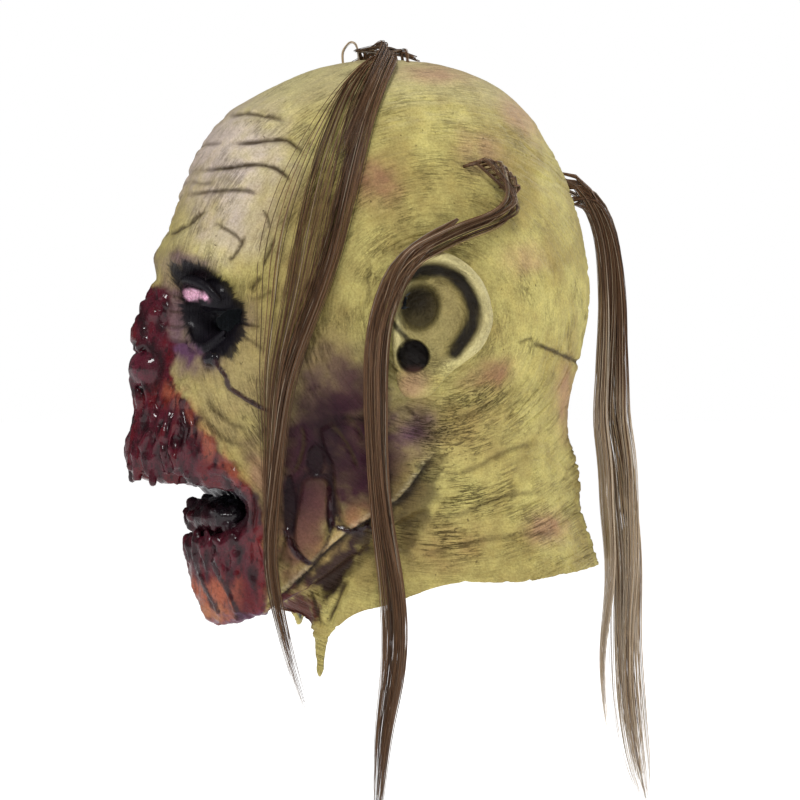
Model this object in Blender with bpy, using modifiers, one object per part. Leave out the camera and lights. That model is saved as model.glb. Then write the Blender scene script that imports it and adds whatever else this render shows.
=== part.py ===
"""A full-head latex zombie mask with three tufts of coarse hair, at its real size.

Metres, +Z up. The face looks along -Y and the wearer's left side is at +X. The origin is
the inside of the crown, where the wearer's head carries the mask, so all of it hangs below.
The skin is a loft through non-planar sections, from the crown to the torn rim of the neck.
"""

import math

import bmesh
import bpy
from mathutils import Matrix, Vector

# Driving sizes.
CHIN_DROP = 0.296
HALF_DEPTH = 0.116
HALF_WIDTH = 0.0885
WALL = 0.002
HAIR_GAP = 0.0005

# How finely the loft is cut: round the head, and between two sections.
AROUND = 56
STEPS_PER_SECTION = 2
FACE_CROWDING = 0.5
EAR_SPOKES = 20
LOCK_SIDES = 8
STEPS_PER_ROUTE_ROW = 2

EAR_HALF_HEIGHT = 0.0385
EAR_HALF_WIDTH = 0.0275
EAR_FLARE_DEG = 21.0
EAR_LEAN_DEG = 12.0
EAR_AZIMUTH_DEG = 93.5
EAR_DROP = 0.1405
EAR_STAND_OFF = 0.0105

EYE_ACROSS = 0.033
EYE_HOLE_DROP = 0.138
EYE_HOLE_WIDTH = 0.026
EYE_HOLE_HEIGHT = 0.013
BREATH_HOLE_DROP = 0.2240
BREATH_HOLE_WIDTH = 0.030
BREATH_HOLE_HEIGHT = 0.0075

# Sections from the crown down. The drops are shares of CHIN_DROP at the front, side and back.
# The reaches are shares of the head's oval, at these angles from the front.
STATIONS_DEG = (0, 30, 60, 90, 135, 180)
SECTIONS = (
    # name, drop front, side, back, reach at each station
    ("crown", 0.012, 0.008, 0.007, 0.22, 0.24, 0.29, 0.32, 0.33, 0.31),
    ("scalp", 0.040, 0.040, 0.040, 0.41, 0.44, 0.53, 0.59, 0.59, 0.55),
    ("hairline", 0.093, 0.093, 0.093, 0.65, 0.70, 0.76, 0.785, 0.77, 0.72),
    ("upper_forehead", 0.159, 0.159, 0.159, 0.79, 0.83, 0.87, 0.90, 0.885, 0.835),
    ("forehead", 0.226, 0.226, 0.226, 0.86, 0.903, 0.935, 0.96, 0.955, 0.92),
    ("temple", 0.294, 0.294, 0.294, 0.92, 0.955, 0.968, 0.989, 0.995, 0.975),
    ("brow", 0.361, 0.361, 0.361, 0.97, 1.00, 0.98, 1.0, 1.01, 1.01),
    ("eye_line", 0.429, 0.429, 0.429, 0.94, 0.96, 0.962, 0.99, 1.015, 1.02),
    ("cheekbone", 0.513, 0.513, 0.513, 0.94, 0.974, 0.957, 0.943, 0.975, 0.98),
    ("nose_base", 0.615, 0.608, 0.608, 1.02, 0.956, 0.893, 0.87, 0.92, 0.92),
    ("upper_lip", 0.730, 0.672, 0.672, 1.085, 0.90, 0.834, 0.819, 0.884, 0.925),
    ("mouth", 0.795, 0.713, 0.696, 0.88, 0.797, 0.78, 0.79, 0.88, 0.95),
    ("lower_lip", 0.860, 0.747, 0.713, 0.862, 0.764, 0.749, 0.768, 0.88, 0.965),
    ("chin", 0.939, 0.780, 0.726, 0.828, 0.726, 0.717, 0.746, 0.88, 0.974),
    ("jaw_edge", 0.997, 0.807, 0.740, 0.741, 0.693, 0.684, 0.723, 0.88, 0.978),
    ("under_jaw", 0.980, 0.820, 0.764, 0.569, 0.562, 0.577, 0.655, 0.88, 0.985),
    ("throat", 0.963, 0.851, 0.811, 0.483, 0.487, 0.545, 0.655, 0.89, 0.995),
    ("rim", 0.980, 0.956, 0.899, 0.414, 0.431, 0.567, 0.734, 0.985, 1.075),
)

# Broad forms on the face, mirrored across the middle. Across and half width are shares of
# HALF_WIDTH, drop and half height of CHIN_DROP, rise of HALF_DEPTH. A higher edge is steeper.
RELIEF = (
    # name, across, drop, half width, half height, edge, rise
    ("brow_ridge", 0.30, 0.352, 0.26, 0.026, 1, 0.032),
    ("brow_notch", 0.0, 0.395, 0.10, 0.030, 1, -0.020),
    ("nose_stump", 0.0, 0.505, 0.14, 0.105, 1, 0.185),
    ("nose_lump", 0.0, 0.552, 0.12, 0.028, 1, 0.030),
    ("lip_block", 0.0, 0.690, 0.28, 0.050, 1, 0.040),
    ("eye_socket", 0.38, 0.450, 0.22, 0.058, 1.5, -0.150),
    ("eyeball", 0.38, 0.405, 0.12, 0.020, 1, 0.060),
    ("cheekbone", 0.64, 0.540, 0.20, 0.040, 1, 0.045),
    ("cheek_hollow", 0.70, 0.700, 0.18, 0.080, 1, -0.060),
    ("mouth_pocket", 0.0, 0.785, 0.35, 0.036, 2, -0.110),
    ("mouth_corner", 0.0, 0.815, 0.38, 0.034, 2, -0.050),
    ("tongue", 0.0, 0.808, 0.17, 0.028, 1, 0.120),
)

# Where the rim hangs below its section, at a tear, or is drawn up above it.
RIM_TEARS = (
    # side, angle, spread in degrees, drop as a share of CHIN_DROP
    (1, 42, 16, 0.040),
    (1, 38, 5, 0.068),
    (-1, 52, 18, 0.020),
    (-1, 56, 6, 0.024),
    (1, 106, 18, -0.022),
    (-1, 110, 22, -0.018),
)

# An ear from its root in the head to the bowl's middle: share of the outline, shift
# backwards as a share of the half width, and rise along the ear's normal in metres.
EAR_RINGS = (
    ("root", 0.50, -0.26, 0.0),
    ("stalk", 0.62, -0.22, -0.0052),
    ("back", 0.88, -0.06, -0.0030),
    ("edge_back", 1.00, 0.00, 0.0000),
    ("edge_front", 0.96, 0.00, 0.0030),
    ("helix_fold", 0.84, 0.00, 0.0022),
    ("groove", 0.74, -0.02, -0.0025),
    ("antihelix", 0.60, -0.05, 0.0010),
    ("bowl_wall", 0.44, -0.10, -0.0024),
    ("bowl_floor", 0.26, -0.14, -0.0046),
)

LATEX = ("latex_skin", (0.62, 0.57, 0.30), 0.55)
HAIR = ("coarse_hair", (0.20, 0.13, 0.09), 0.60)

# Each tuft: locks that start in one root pad. A row is the angle from the front in degrees,
# the drop as a share of CHIN_DROP, the distance off the skin, the width and the thickness.
HAIR_TUFTS = {
    "hair_crown": {
        "pad": (150, 0.0005, 0.016, 0.008, 0.0025),
        "locks": {
            "temple": (
                (150, 0.002, 0.0030, 0.010, 0.0040),
                (100, 0.010, 0.0070, 0.014, 0.0045),
                (76, 0.050, 0.0055, 0.013, 0.0045),
                (66, 0.120, 0.0046, 0.016, 0.0045),
                (60, 0.240, 0.0048, 0.022, 0.0045),
                (54, 0.370, 0.0054, 0.024, 0.0045),
                (48, 0.510, 0.0060, 0.020, 0.0050),
                (43, 0.650, 0.0068, 0.015, 0.0050),
                (38, 0.800, 0.0080, 0.012, 0.0050),
                (36, 0.910, 0.0090, 0.010, 0.0045),
                (38, 1.000, 0.0090, 0.008, 0.0040),
                (42, 1.080, 0.0080, 0.006, 0.0030),
                (47, 1.140, 0.0060, 0.003, 0.0020),
            ),
            "far_wisp": (
                (150, 0.002, 0.0035, 0.006, 0.0040),
                (215, -0.010, 0.0070, 0.005, 0.0030),
                (262, 0.008, 0.0100, 0.005, 0.0030),
                (284, 0.060, 0.0055, 0.005, 0.0030),
                (286, 0.180, 0.0045, 0.005, 0.0030),
                (290, 0.320, 0.0045, 0.004, 0.0030),
                (292, 0.420, 0.0055, 0.002, 0.0020),
            ),
        },
    },
    "hair_side": {
        "pad": (119, 0.200, 0.016, 0.012, 0.0025),
        "locks": {
            "ear_front": (
                (121, 0.195, 0.0032, 0.016, 0.0040),
                (112, 0.262, 0.0075, 0.017, 0.0050),
                (101, 0.308, 0.0125, 0.013, 0.0050),
                (93, 0.340, 0.0140, 0.011, 0.0050),
                (85, 0.385, 0.0125, 0.010, 0.0050),
                (80, 0.450, 0.0128, 0.011, 0.0050),
                (79, 0.520, 0.0125, 0.011, 0.0050),
                (79, 0.610, 0.0095, 0.011, 0.0050),
                (80, 0.700, 0.0070, 0.011, 0.0055),
                (82, 0.800, 0.0090, 0.012, 0.0060),
                (86, 0.900, 0.0100, 0.013, 0.0060),
                (86, 0.990, 0.0100, 0.012, 0.0060),
                (83, 1.080, 0.0090, 0.009, 0.0060),
                (79, 1.170, 0.0080, 0.007, 0.0050),
                (77, 1.260, 0.0080, 0.005, 0.0040),
                (75, 1.345, 0.0080, 0.003, 0.0020),
            ),
        },
    },
    "hair_back": {
        "pad": (178, 0.225, 0.016, 0.014, 0.0025),
        "locks": {
            "inner": (
                (178, 0.225, 0.0050, 0.010, 0.0060),
                (178, 0.256, 0.0100, 0.010, 0.0060),
                (177, 0.312, 0.0115, 0.012, 0.0050),
                (176, 0.400, 0.0080, 0.012, 0.0050),
                (175, 0.471, 0.0085, 0.012, 0.0060),
                (175, 0.606, 0.0200, 0.012, 0.0070),
                (174, 0.713, 0.0160, 0.012, 0.0070),
                (173, 0.821, 0.0130, 0.012, 0.0070),
                (173, 0.900, 0.0060, 0.010, 0.0060),
                (173, 0.964, 0.0050, 0.008, 0.0050),
                (173, 1.063, 0.0010, 0.006, 0.0045),
                (173, 1.140, 0.0020, 0.005, 0.0035),
                (172, 1.200, 0.0035, 0.003, 0.0020),
            ),
            "outer": (
                (178, 0.212, 0.0050, 0.016, 0.0070),
                (178, 0.240, 0.0140, 0.016, 0.0090),
                (179, 0.312, 0.0180, 0.017, 0.0095),
                (180, 0.400, 0.0165, 0.018, 0.0105),
                (181, 0.471, 0.0195, 0.018, 0.0125),
                (181, 0.606, 0.0315, 0.018, 0.0155),
                (181, 0.713, 0.0295, 0.018, 0.0190),
                (181, 0.821, 0.0270, 0.018, 0.0200),
                (181, 0.964, 0.0195, 0.018, 0.0190),
                (181, 1.063, 0.0190, 0.018, 0.0175),
                (181, 1.170, 0.0205, 0.016, 0.0165),
                (181, 1.278, 0.0260, 0.012, 0.0120),
                (181, 1.350, 0.0320, 0.005, 0.0040),
            ),
        },
    },
}


def clear_scene():
    for thing in list(bpy.data.objects):
        bpy.data.objects.remove(thing, do_unlink=True)


def make_collection(name):
    collection = bpy.data.collections.new(name)
    bpy.context.scene.collection.children.link(collection)
    return collection


def make_material(name, colour, roughness):
    material = bpy.data.materials.new(name)
    material.use_nodes = True
    shader = material.node_tree.nodes["Principled BSDF"]
    shader.inputs["Base Color"].default_value = (*colour, 1.0)
    shader.inputs["Roughness"].default_value = roughness
    shader.inputs["Metallic"].default_value = 0.0
    return material


def cubic(before, start, end, after, share):
    """The smooth curve between two neighbouring values, given the ones outside them."""
    slope_start = (end - before) / 2
    slope_end = (after - start) / 2
    cube, square = share**3, share**2
    return (
        (2 * cube - 3 * square + 1) * start
        + (cube - 2 * square + share) * slope_start
        + (3 * square - 2 * cube) * end
        + (cube - square) * slope_end
    )


def across_stations(values, angle_deg):
    """The reach at an angle, through the values at the stations, level at front and back."""
    angle = min(abs(angle_deg), 180.0)
    index = max(i for i, s in enumerate(STATIONS_DEG[:-1]) if angle >= s)
    left, right = STATIONS_DEG[index], STATIONS_DEG[index + 1]

    def slope(i):
        if i in (0, len(values) - 1):
            return 0.0
        return (values[i + 1] - values[i - 1]) / (STATIONS_DEG[i + 1] - STATIONS_DEG[i - 1])

    span = right - left
    share = (angle - left) / span
    cube, square = share**3, share**2
    return (
        (2 * cube - 3 * square + 1) * values[index]
        + (cube - 2 * square + share) * span * slope(index)
        + (3 * square - 2 * cube) * values[index + 1]
        + (cube - square) * span * slope(index + 1)
    )


def section_columns():
    """The sections' numbers with the crown's point in front, carried on over it and the rim."""
    rows = [row[1:] for row in SECTIONS]
    first, last, before_last = rows[0], rows[-1], rows[-2]
    pole = (0.0,) * len(first)
    over_pole = first[:3] + tuple(-reach for reach in first[3:])
    past_rim = tuple(2 * a - b for a, b in zip(last, before_last))
    return [over_pole, pole, *rows, past_rim]


COLUMNS = section_columns()
LAST_LEVEL = len(SECTIONS)


def oval(azimuth):
    """The head's oval: its radius at an angle from the front."""
    across = math.sin(azimuth) / HALF_WIDTH
    along = math.cos(azimuth) / HALF_DEPTH
    return 1 / math.hypot(across, along)


def rim_tear(azimuth_deg, level):
    """The extra drop of a torn rim, fading out upwards within the last section."""
    near_rim = max(0.0, level - (LAST_LEVEL - 1))
    drop = 0.0
    for side, angle, spread, depth in RIM_TEARS:
        drop += depth * math.exp(-(((azimuth_deg - side * angle) / spread) ** 2))
    return drop * near_rim**2


def relief(across, drop):
    """How far the broad forms push the skin out, as a share of HALF_DEPTH."""
    total = 0.0
    for _, centre, height, half_width, half_height, edge, rise in RELIEF:
        offset = (abs(across) - centre) / half_width
        offset_down = (drop - height) / half_height
        total += rise * math.exp(-((offset**2 + offset_down**2) ** edge))
    return total


def skin_point(level, azimuth):
    """A point of the outer skin. Level counts sections from the crown, azimuth is radians
    from the front, positive towards the wearer's left."""
    azimuth = math.remainder(azimuth, 2 * math.pi)
    index = min(int(level), LAST_LEVEL - 1)
    share = level - index
    around = [cubic(*values, share) for values in zip(*COLUMNS[index : index + 4])]
    front, side, back = around[:3]
    turn = math.cos(azimuth)
    drop = side + (front - back) / 2 * turn + ((front + back) / 2 - side) * turn**2
    drop += rim_tear(math.degrees(azimuth), level)
    reach = across_stations(around[3:], math.degrees(azimuth)) * oval(azimuth)
    facing = max(0.0, turn)
    fade = min(1.0, facing * 3)
    reach += relief(reach * math.sin(azimuth) / HALF_WIDTH, drop) * fade * HALF_DEPTH
    return Vector(
        (reach * math.sin(azimuth), -reach * turn, WALL - drop * CHIN_DROP)
    )


def radius_of(point):
    return math.hypot(point.x, point.y)


def reach_at(azimuth, drop):
    """The skin's reach at an angle and a drop. Past the jaw's edge it stays at least the
    edge's own, because what hangs there hangs clear of the neck."""
    jaw_level = 1 + [row[0] for row in SECTIONS].index("jaw_edge")
    jaw_reach = radius_of(skin_point(jaw_level, azimuth))
    target = WALL - drop * CHIN_DROP
    above = skin_point(0.5, azimuth)
    for step in range(2, LAST_LEVEL * 4 + 1):
        below = skin_point(step / 4, azimuth)
        if below.z <= target:
            share = (above.z - target) / max(above.z - below.z, 1e-6)
            reach = radius_of(above.lerp(below, min(max(share, 0.0), 1.0)))
            return reach if step / 4 <= jaw_level else max(reach, jaw_reach)
        above = below
    return max(radius_of(above), jaw_reach)


def skin_normal(azimuth, drop):
    """The head's outward direction where a lock lies: upwards at the crown, level lower down."""
    radial = Vector((math.sin(azimuth), -math.cos(azimuth), 0))
    higher, lower = max(drop - 0.02, 0.0015), drop + 0.02
    rise = reach_at(azimuth, lower) - reach_at(azimuth, higher)
    slope = max(rise, 0.0) / ((lower - higher) * CHIN_DROP)
    return (radial + Vector((0, 0, slope))).normalized()


def azimuths():
    """Angles round the head, crowded together at the face."""
    turns = [2 * math.pi * i / AROUND - math.pi for i in range(AROUND)]
    return [turn - FACE_CROWDING * math.sin(turn) for turn in turns]


def loft(rows, start_point, end_point, name):
    """A mesh through rings of points, with a fan to a point at each end that has one."""
    mesh = bmesh.new()
    rings = [[mesh.verts.new(p) for p in row] for row in rows]
    count = len(rows[0])
    for point, ring in ((start_point, rings[0]), (end_point, rings[-1])):
        if point is None:
            continue
        tip = mesh.verts.new(point)
        for i in range(count):
            mesh.faces.new((tip, ring[i], ring[(i + 1) % count]))
    for upper, lower in zip(rings, rings[1:]):
        for i in range(count):
            j = (i + 1) % count
            mesh.faces.new((upper[i], upper[j], lower[j], lower[i]))
    bmesh.ops.recalc_face_normals(mesh, faces=mesh.faces)
    data = bpy.data.meshes.new(name)
    mesh.to_mesh(data)
    mesh.free()
    return data


def place(name, data, collection, material=None):
    thing = bpy.data.objects.new(name, data)
    collection.objects.link(thing)
    if material is not None:
        data.materials.append(material)
        data.shade_smooth()
    return thing


def as_cutter(thing):
    thing.hide_render = True
    thing.display_type = "WIRE"
    return thing


def boolean(target, tool, operation):
    modifier = target.modifiers.new(f"{operation.lower()} {tool.name}", "BOOLEAN")
    modifier.operation = operation
    modifier.object = tool
    modifier.solver = "EXACT"


def skin_rows():
    levels = [i / STEPS_PER_SECTION for i in range(1, LAST_LEVEL * STEPS_PER_SECTION + 1)]
    return [[skin_point(level, turn) for turn in azimuths()] for level in levels]


def middle(points):
    return sum(points, Vector()) / len(points)


def make_shell(collection, material):
    """The head's skin, open at the neck, with its wall inside the surface."""
    shell = place(
        "latex_shell",
        loft(skin_rows(), Vector((0, 0, WALL)), None, "latex_shell"),
        collection,
        material,
    )
    wall = shell.modifiers.new("wall", "SOLIDIFY")
    wall.thickness = WALL
    wall.offset = -1.0
    return shell


def inside_wall(point):
    """The point moved level to the middle of the wall."""
    azimuth = math.atan2(point.x, -point.y)
    reach = reach_at(azimuth, (WALL - point.z) / CHIN_DROP) - WALL / 2
    return Vector((reach * math.sin(azimuth), -reach * math.cos(azimuth), point.z))


def ear_outline(spoke_angle):
    """The ear's egg shape as backward and upward shares: full above, drawn in at the lobe."""
    up = math.cos(spoke_angle)
    lobe = max(0.0, -up)
    return math.sin(spoke_angle) * (1 - 0.30 * lobe), up


def make_ear(collection, side):
    """An ear as rings from its root in the head to the bottom of its bowl."""
    flare = math.radians(EAR_FLARE_DEG)
    lean = math.radians(EAR_LEAN_DEG)
    outwards = Vector((math.cos(flare), -math.sin(flare), 0))
    backwards = Vector((math.sin(flare), math.cos(flare), 0))
    upwards = Matrix.Rotation(-lean, 3, outwards) @ Vector((0, 0, 1))
    backwards = upwards.cross(outwards)
    azimuth = math.radians(EAR_AZIMUTH_DEG)
    reach = reach_at(azimuth, EAR_DROP / CHIN_DROP) + EAR_STAND_OFF
    centre = Vector((reach * math.sin(azimuth), -reach * math.cos(azimuth), WALL - EAR_DROP))
    rows = []
    for name, share, shift, rise in EAR_RINGS:
        ring = []
        for i in range(EAR_SPOKES):
            back_share, up_share = ear_outline(2 * math.pi * i / EAR_SPOKES)
            point = centre + outwards * rise
            point += backwards * EAR_HALF_WIDTH * (share * back_share + shift)
            point += upwards * EAR_HALF_HEIGHT * share * up_share
            ring.append(inside_wall(point) if name == "root" else point)
        rows.append([Vector((side * p.x, p.y, p.z)) for p in ring])
    root = inside_wall(Vector((side * middle(rows[0]).x, *middle(rows[0])[1:])))
    root.x *= side
    name = "ear_left" if side > 0 else "ear_right"
    data = loft(rows, root, middle(rows[-1]), name)
    return as_cutter(place(name, data, collection))


def make_hole_cutter(name, collection, across, drop, width, height):
    """An upright oval bar along Y, through the front wall only."""
    mesh = bmesh.new()
    bmesh.ops.create_cone(
        mesh, cap_ends=True, segments=20, radius1=0.5, radius2=0.5, depth=1.0
    )
    data = bpy.data.meshes.new(name)
    mesh.to_mesh(data)
    mesh.free()
    length = HALF_DEPTH
    data.transform(
        Matrix.Translation((across, -HALF_DEPTH, WALL - drop))
        @ Matrix.Rotation(math.pi / 2, 4, "X")
        @ Matrix.Diagonal((width, height, length, 1.0))
    )
    return as_cutter(place(name, data, collection))


def smooth_route(route):
    """The route with smooth rows put in between the stated ones."""
    padded = [route[0], *route, route[-1]]
    rows = []
    for i in range(len(route) - 1):
        for step in range(STEPS_PER_ROUTE_ROW):
            share = step / STEPS_PER_ROUTE_ROW
            rows.append([cubic(*values, share) for values in zip(*padded[i : i + 4])])
    return [*rows, route[-1]]


def seat_on_skin(angle_deg, drop, off_skin):
    """A point that far off the skin, and the outward direction there."""
    azimuth = math.radians(angle_deg)
    reach = reach_at(azimuth, max(drop, 0.0))
    normal = skin_normal(azimuth, max(drop, 0.0))
    height = WALL - drop * CHIN_DROP
    base = Vector((reach * math.sin(azimuth), -reach * math.cos(azimuth), height))
    return base + normal * (off_skin + HAIR_GAP), normal


def lock_rows(route):
    """Rings of a lock's flattened tube along its route, each lying flat to the head."""
    route = smooth_route(route)
    seats = [seat_on_skin(*row[:3]) for row in route]
    centres = [seat[0] for seat in seats]
    rows = []
    for i, (*_, width, thickness) in enumerate(route):
        along = centres[min(i + 1, len(centres) - 1)] - centres[max(i - 1, 0)]
        across = along.cross(seats[i][1]).normalized()
        out = across.cross(along).normalized()
        ring = []
        for k in range(LOCK_SIDES):
            turn = 2 * math.pi * k / LOCK_SIDES
            offset = across * math.cos(turn) * width / 2 + out * math.sin(turn) * thickness / 2
            ring.append(centres[i] + offset)
        rows.append(ring)
    return rows, centres


def make_tuft(name, tuft, collection, helpers, material):
    """A tuft: its root pad on the scalp with every lock joined to it."""
    angle, drop, length, width, height = tuft["pad"]
    seat, normal = seat_on_skin(angle, drop, height / 2)
    mesh = bmesh.new()
    bmesh.ops.create_uvsphere(mesh, u_segments=12, v_segments=6, radius=0.5)
    data = bpy.data.meshes.new(name)
    mesh.to_mesh(data)
    mesh.free()
    turn = normal.to_track_quat("Z", "Y").to_matrix().to_4x4()
    data.transform(
        Matrix.Translation(seat) @ turn @ Matrix.Diagonal((width, length, height, 1.0))
    )
    pad = place(name, data, collection, material)
    for lock_name, route in tuft["locks"].items():
        rows, centres = lock_rows(route)
        lock = place(
            f"{name}_{lock_name}", loft(rows, centres[0], centres[-1], lock_name), helpers
        )
        boolean(pad, as_cutter(lock), "UNION")
    return pad


def main():
    clear_scene()
    parts = make_collection("zombie_mask")
    helpers = make_collection("cutters")
    latex = make_material(*LATEX)
    hair = make_material(*HAIR)

    shell = make_shell(parts, latex)
    for side in (1, -1):
        boolean(shell, make_ear(helpers, side), "UNION")
    for side, name in ((1, "eye_hole_left"), (-1, "eye_hole_right")):
        cutter = make_hole_cutter(
            name, helpers, side * EYE_ACROSS, EYE_HOLE_DROP, EYE_HOLE_WIDTH, EYE_HOLE_HEIGHT
        )
        boolean(shell, cutter, "DIFFERENCE")
    breath = make_hole_cutter(
        "breath_hole", helpers, 0.0, BREATH_HOLE_DROP, BREATH_HOLE_WIDTH, BREATH_HOLE_HEIGHT
    )
    boolean(shell, breath, "DIFFERENCE")

    for name, tuft in HAIR_TUFTS.items():
        make_tuft(name, tuft, parts, helpers, hair)


main()
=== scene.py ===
"""The zombie mask dressed for its picture: a sculpted latex skin and tufts of coarse hair.

Metres, in the same frame as the solids. The skin repeats the loft of the solid, is carved and
built up in a volume, meshed, given its wrinkles and wounds, and painted by regions.
"""

import math

import bpy
import numpy as np
import openvdb
from mathutils import Matrix, Vector
from mathutils.bvhtree import BVHTree


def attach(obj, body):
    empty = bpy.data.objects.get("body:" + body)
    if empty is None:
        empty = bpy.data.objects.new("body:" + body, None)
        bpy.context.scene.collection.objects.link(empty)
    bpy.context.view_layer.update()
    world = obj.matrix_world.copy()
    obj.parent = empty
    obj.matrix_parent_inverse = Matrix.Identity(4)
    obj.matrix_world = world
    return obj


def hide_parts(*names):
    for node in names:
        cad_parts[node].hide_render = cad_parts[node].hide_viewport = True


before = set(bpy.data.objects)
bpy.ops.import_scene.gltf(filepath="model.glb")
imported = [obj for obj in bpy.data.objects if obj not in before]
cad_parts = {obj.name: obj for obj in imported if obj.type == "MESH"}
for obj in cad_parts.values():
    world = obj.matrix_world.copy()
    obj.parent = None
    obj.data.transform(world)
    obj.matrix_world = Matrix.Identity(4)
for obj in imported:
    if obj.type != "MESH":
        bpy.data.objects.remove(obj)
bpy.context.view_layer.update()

# The solid's own values.
CHIN_DROP = 0.296
HALF_DEPTH = 0.116
HALF_WIDTH = 0.0885
WALL = 0.002
HAIR_GAP = 0.0005
EAR_FLARE_DEG = 21.0
EAR_LEAN_DEG = 12.0
EAR_AZIMUTH_DEG = 93.5
EAR_DROP = 0.1405
EAR_STAND_OFF = 0.0105
EYE_ACROSS = 0.033
EYE_HOLE_DROP = 0.138
EYE_HOLE_WIDTH = 0.026
EYE_HOLE_HEIGHT = 0.013
BREATH_HOLE_DROP = 0.2240
BREATH_HOLE_WIDTH = 0.030
BREATH_HOLE_HEIGHT = 0.0075

STATIONS_DEG = (0, 30, 60, 90, 135, 180)
SECTIONS = (
    ("crown", 0.012, 0.008, 0.007, 0.22, 0.24, 0.29, 0.32, 0.33, 0.31),
    ("scalp", 0.040, 0.040, 0.040, 0.41, 0.44, 0.53, 0.59, 0.59, 0.55),
    ("hairline", 0.093, 0.093, 0.093, 0.65, 0.70, 0.76, 0.785, 0.77, 0.72),
    ("upper_forehead", 0.159, 0.159, 0.159, 0.79, 0.83, 0.87, 0.90, 0.885, 0.835),
    ("forehead", 0.226, 0.226, 0.226, 0.86, 0.903, 0.935, 0.96, 0.955, 0.92),
    ("temple", 0.294, 0.294, 0.294, 0.92, 0.955, 0.968, 0.989, 0.995, 0.975),
    ("brow", 0.361, 0.361, 0.361, 0.97, 1.00, 0.98, 1.0, 1.01, 1.01),
    ("eye_line", 0.429, 0.429, 0.429, 0.94, 0.96, 0.962, 0.99, 1.015, 1.02),
    ("cheekbone", 0.513, 0.513, 0.513, 0.94, 0.974, 0.957, 0.943, 0.975, 0.98),
    ("nose_base", 0.615, 0.608, 0.608, 1.02, 0.956, 0.893, 0.87, 0.92, 0.92),
    ("upper_lip", 0.730, 0.672, 0.672, 1.085, 0.90, 0.834, 0.819, 0.884, 0.925),
    ("mouth", 0.795, 0.713, 0.696, 0.88, 0.797, 0.78, 0.79, 0.88, 0.95),
    ("lower_lip", 0.860, 0.747, 0.713, 0.862, 0.764, 0.749, 0.768, 0.88, 0.965),
    ("chin", 0.939, 0.780, 0.726, 0.828, 0.726, 0.717, 0.746, 0.88, 0.974),
    ("jaw_edge", 0.997, 0.807, 0.740, 0.741, 0.693, 0.684, 0.723, 0.88, 0.978),
    ("under_jaw", 0.980, 0.820, 0.764, 0.569, 0.562, 0.577, 0.655, 0.88, 0.985),
    ("throat", 0.963, 0.851, 0.811, 0.483, 0.487, 0.545, 0.655, 0.89, 0.995),
    ("rim", 0.980, 0.956, 0.899, 0.414, 0.431, 0.567, 0.734, 0.985, 1.075),
)
RELIEF = (
    ("brow_ridge", 0.30, 0.352, 0.26, 0.026, 1, 0.032),
    ("brow_notch", 0.0, 0.395, 0.10, 0.030, 1, -0.020),
    ("nose_stump", 0.0, 0.505, 0.14, 0.105, 1, 0.185),
    ("lip_block", 0.0, 0.690, 0.28, 0.050, 1, 0.040),
    ("eye_socket", 0.38, 0.450, 0.22, 0.058, 1.5, -0.150),
    ("cheekbone", 0.64, 0.540, 0.20, 0.040, 1, 0.045),
    ("cheek_hollow", 0.70, 0.700, 0.18, 0.080, 1, -0.060),
    ("mouth_pocket", 0.0, 0.785, 0.35, 0.036, 2, -0.070),
    ("mouth_corner", 0.0, 0.815, 0.38, 0.034, 2, -0.030),
)
RIM_TEARS = (
    (1, 42, 16, 0.040),
    (1, 38, 5, 0.068),
    (-1, 52, 18, 0.020),
    (-1, 56, 6, 0.024),
    (1, 106, 18, -0.022),
    (-1, 110, 22, -0.018),
)
ROOTS = {
    "hair_crown": (150, 0.0005, 0.016, 0.008, 0.0025),
    "hair_side": (119, 0.200, 0.016, 0.012, 0.0025),
    "hair_back": (178, 0.225, 0.016, 0.014, 0.0025),
}

# The photo's camera: its angle from the front, its distance, and what a pixel spans there.
VIEW_DEG = 73.0
CAMERA_DISTANCE = 1.6
PIXEL = 0.00053
PHOTO_SIDE = 800
PHOTO_MIDDLE = PHOTO_SIDE / 2
AIM_RIGHT_PIXELS = 28
AIM_DOWN_PIXELS = 338
SENSOR = 36.0
VIEW = math.radians(VIEW_DEG)
TOWARDS = np.array((math.sin(VIEW), -math.cos(VIEW), 0.0))
RIGHTWARDS = np.array((math.cos(VIEW), math.sin(VIEW), 0.0))
AIM = RIGHTWARDS * AIM_RIGHT_PIXELS * PIXEL + (0.0, 0.0, WALL - AIM_DOWN_PIXELS * PIXEL)
EYE_POINT = AIM + TOWARDS * CAMERA_DISTANCE

VOXEL = 0.00085
BAND_VOXELS = 9
SKIN_WALL = 0.0023
SKIN_TRIANGLES = 190000
BOX_LOW = np.array((-0.116, -0.146, -0.352))
BOX_HIGH = np.array((0.116, 0.136, 0.012))

RANDOM = np.random.default_rng(11)
LATTICE_SIDE = 32
LATTICE = RANDOM.random((LATTICE_SIDE,) * 3).astype(np.float32) * 2 - 1


# ---- small mathematics


def hermite(before, start, end, after, share):
    slope_start = (end - before) / 2
    slope_end = (after - start) / 2
    cube, square = share**3, share**2
    return (
        (2 * cube - 3 * square + 1) * start
        + (cube - 2 * square + share) * slope_start
        + (3 * square - 2 * cube) * end
        + (cube - square) * slope_end
    )


def smooth_line(points, steps=4):
    """The polyline with smooth points put in between the stated ones."""
    points = np.array(points, float)
    padded = np.vstack((points[:1], points, points[-1:]))
    rows = []
    for i in range(len(points) - 1):
        for step in range(steps):
            rows.append(hermite(*padded[i : i + 4], step / steps))
    rows.append(points[-1])
    return np.array(rows)


def step_up(value, low, high):
    share = np.clip((value - low) / (high - low), 0, 1)
    return share * share * (3 - 2 * share)


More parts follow.
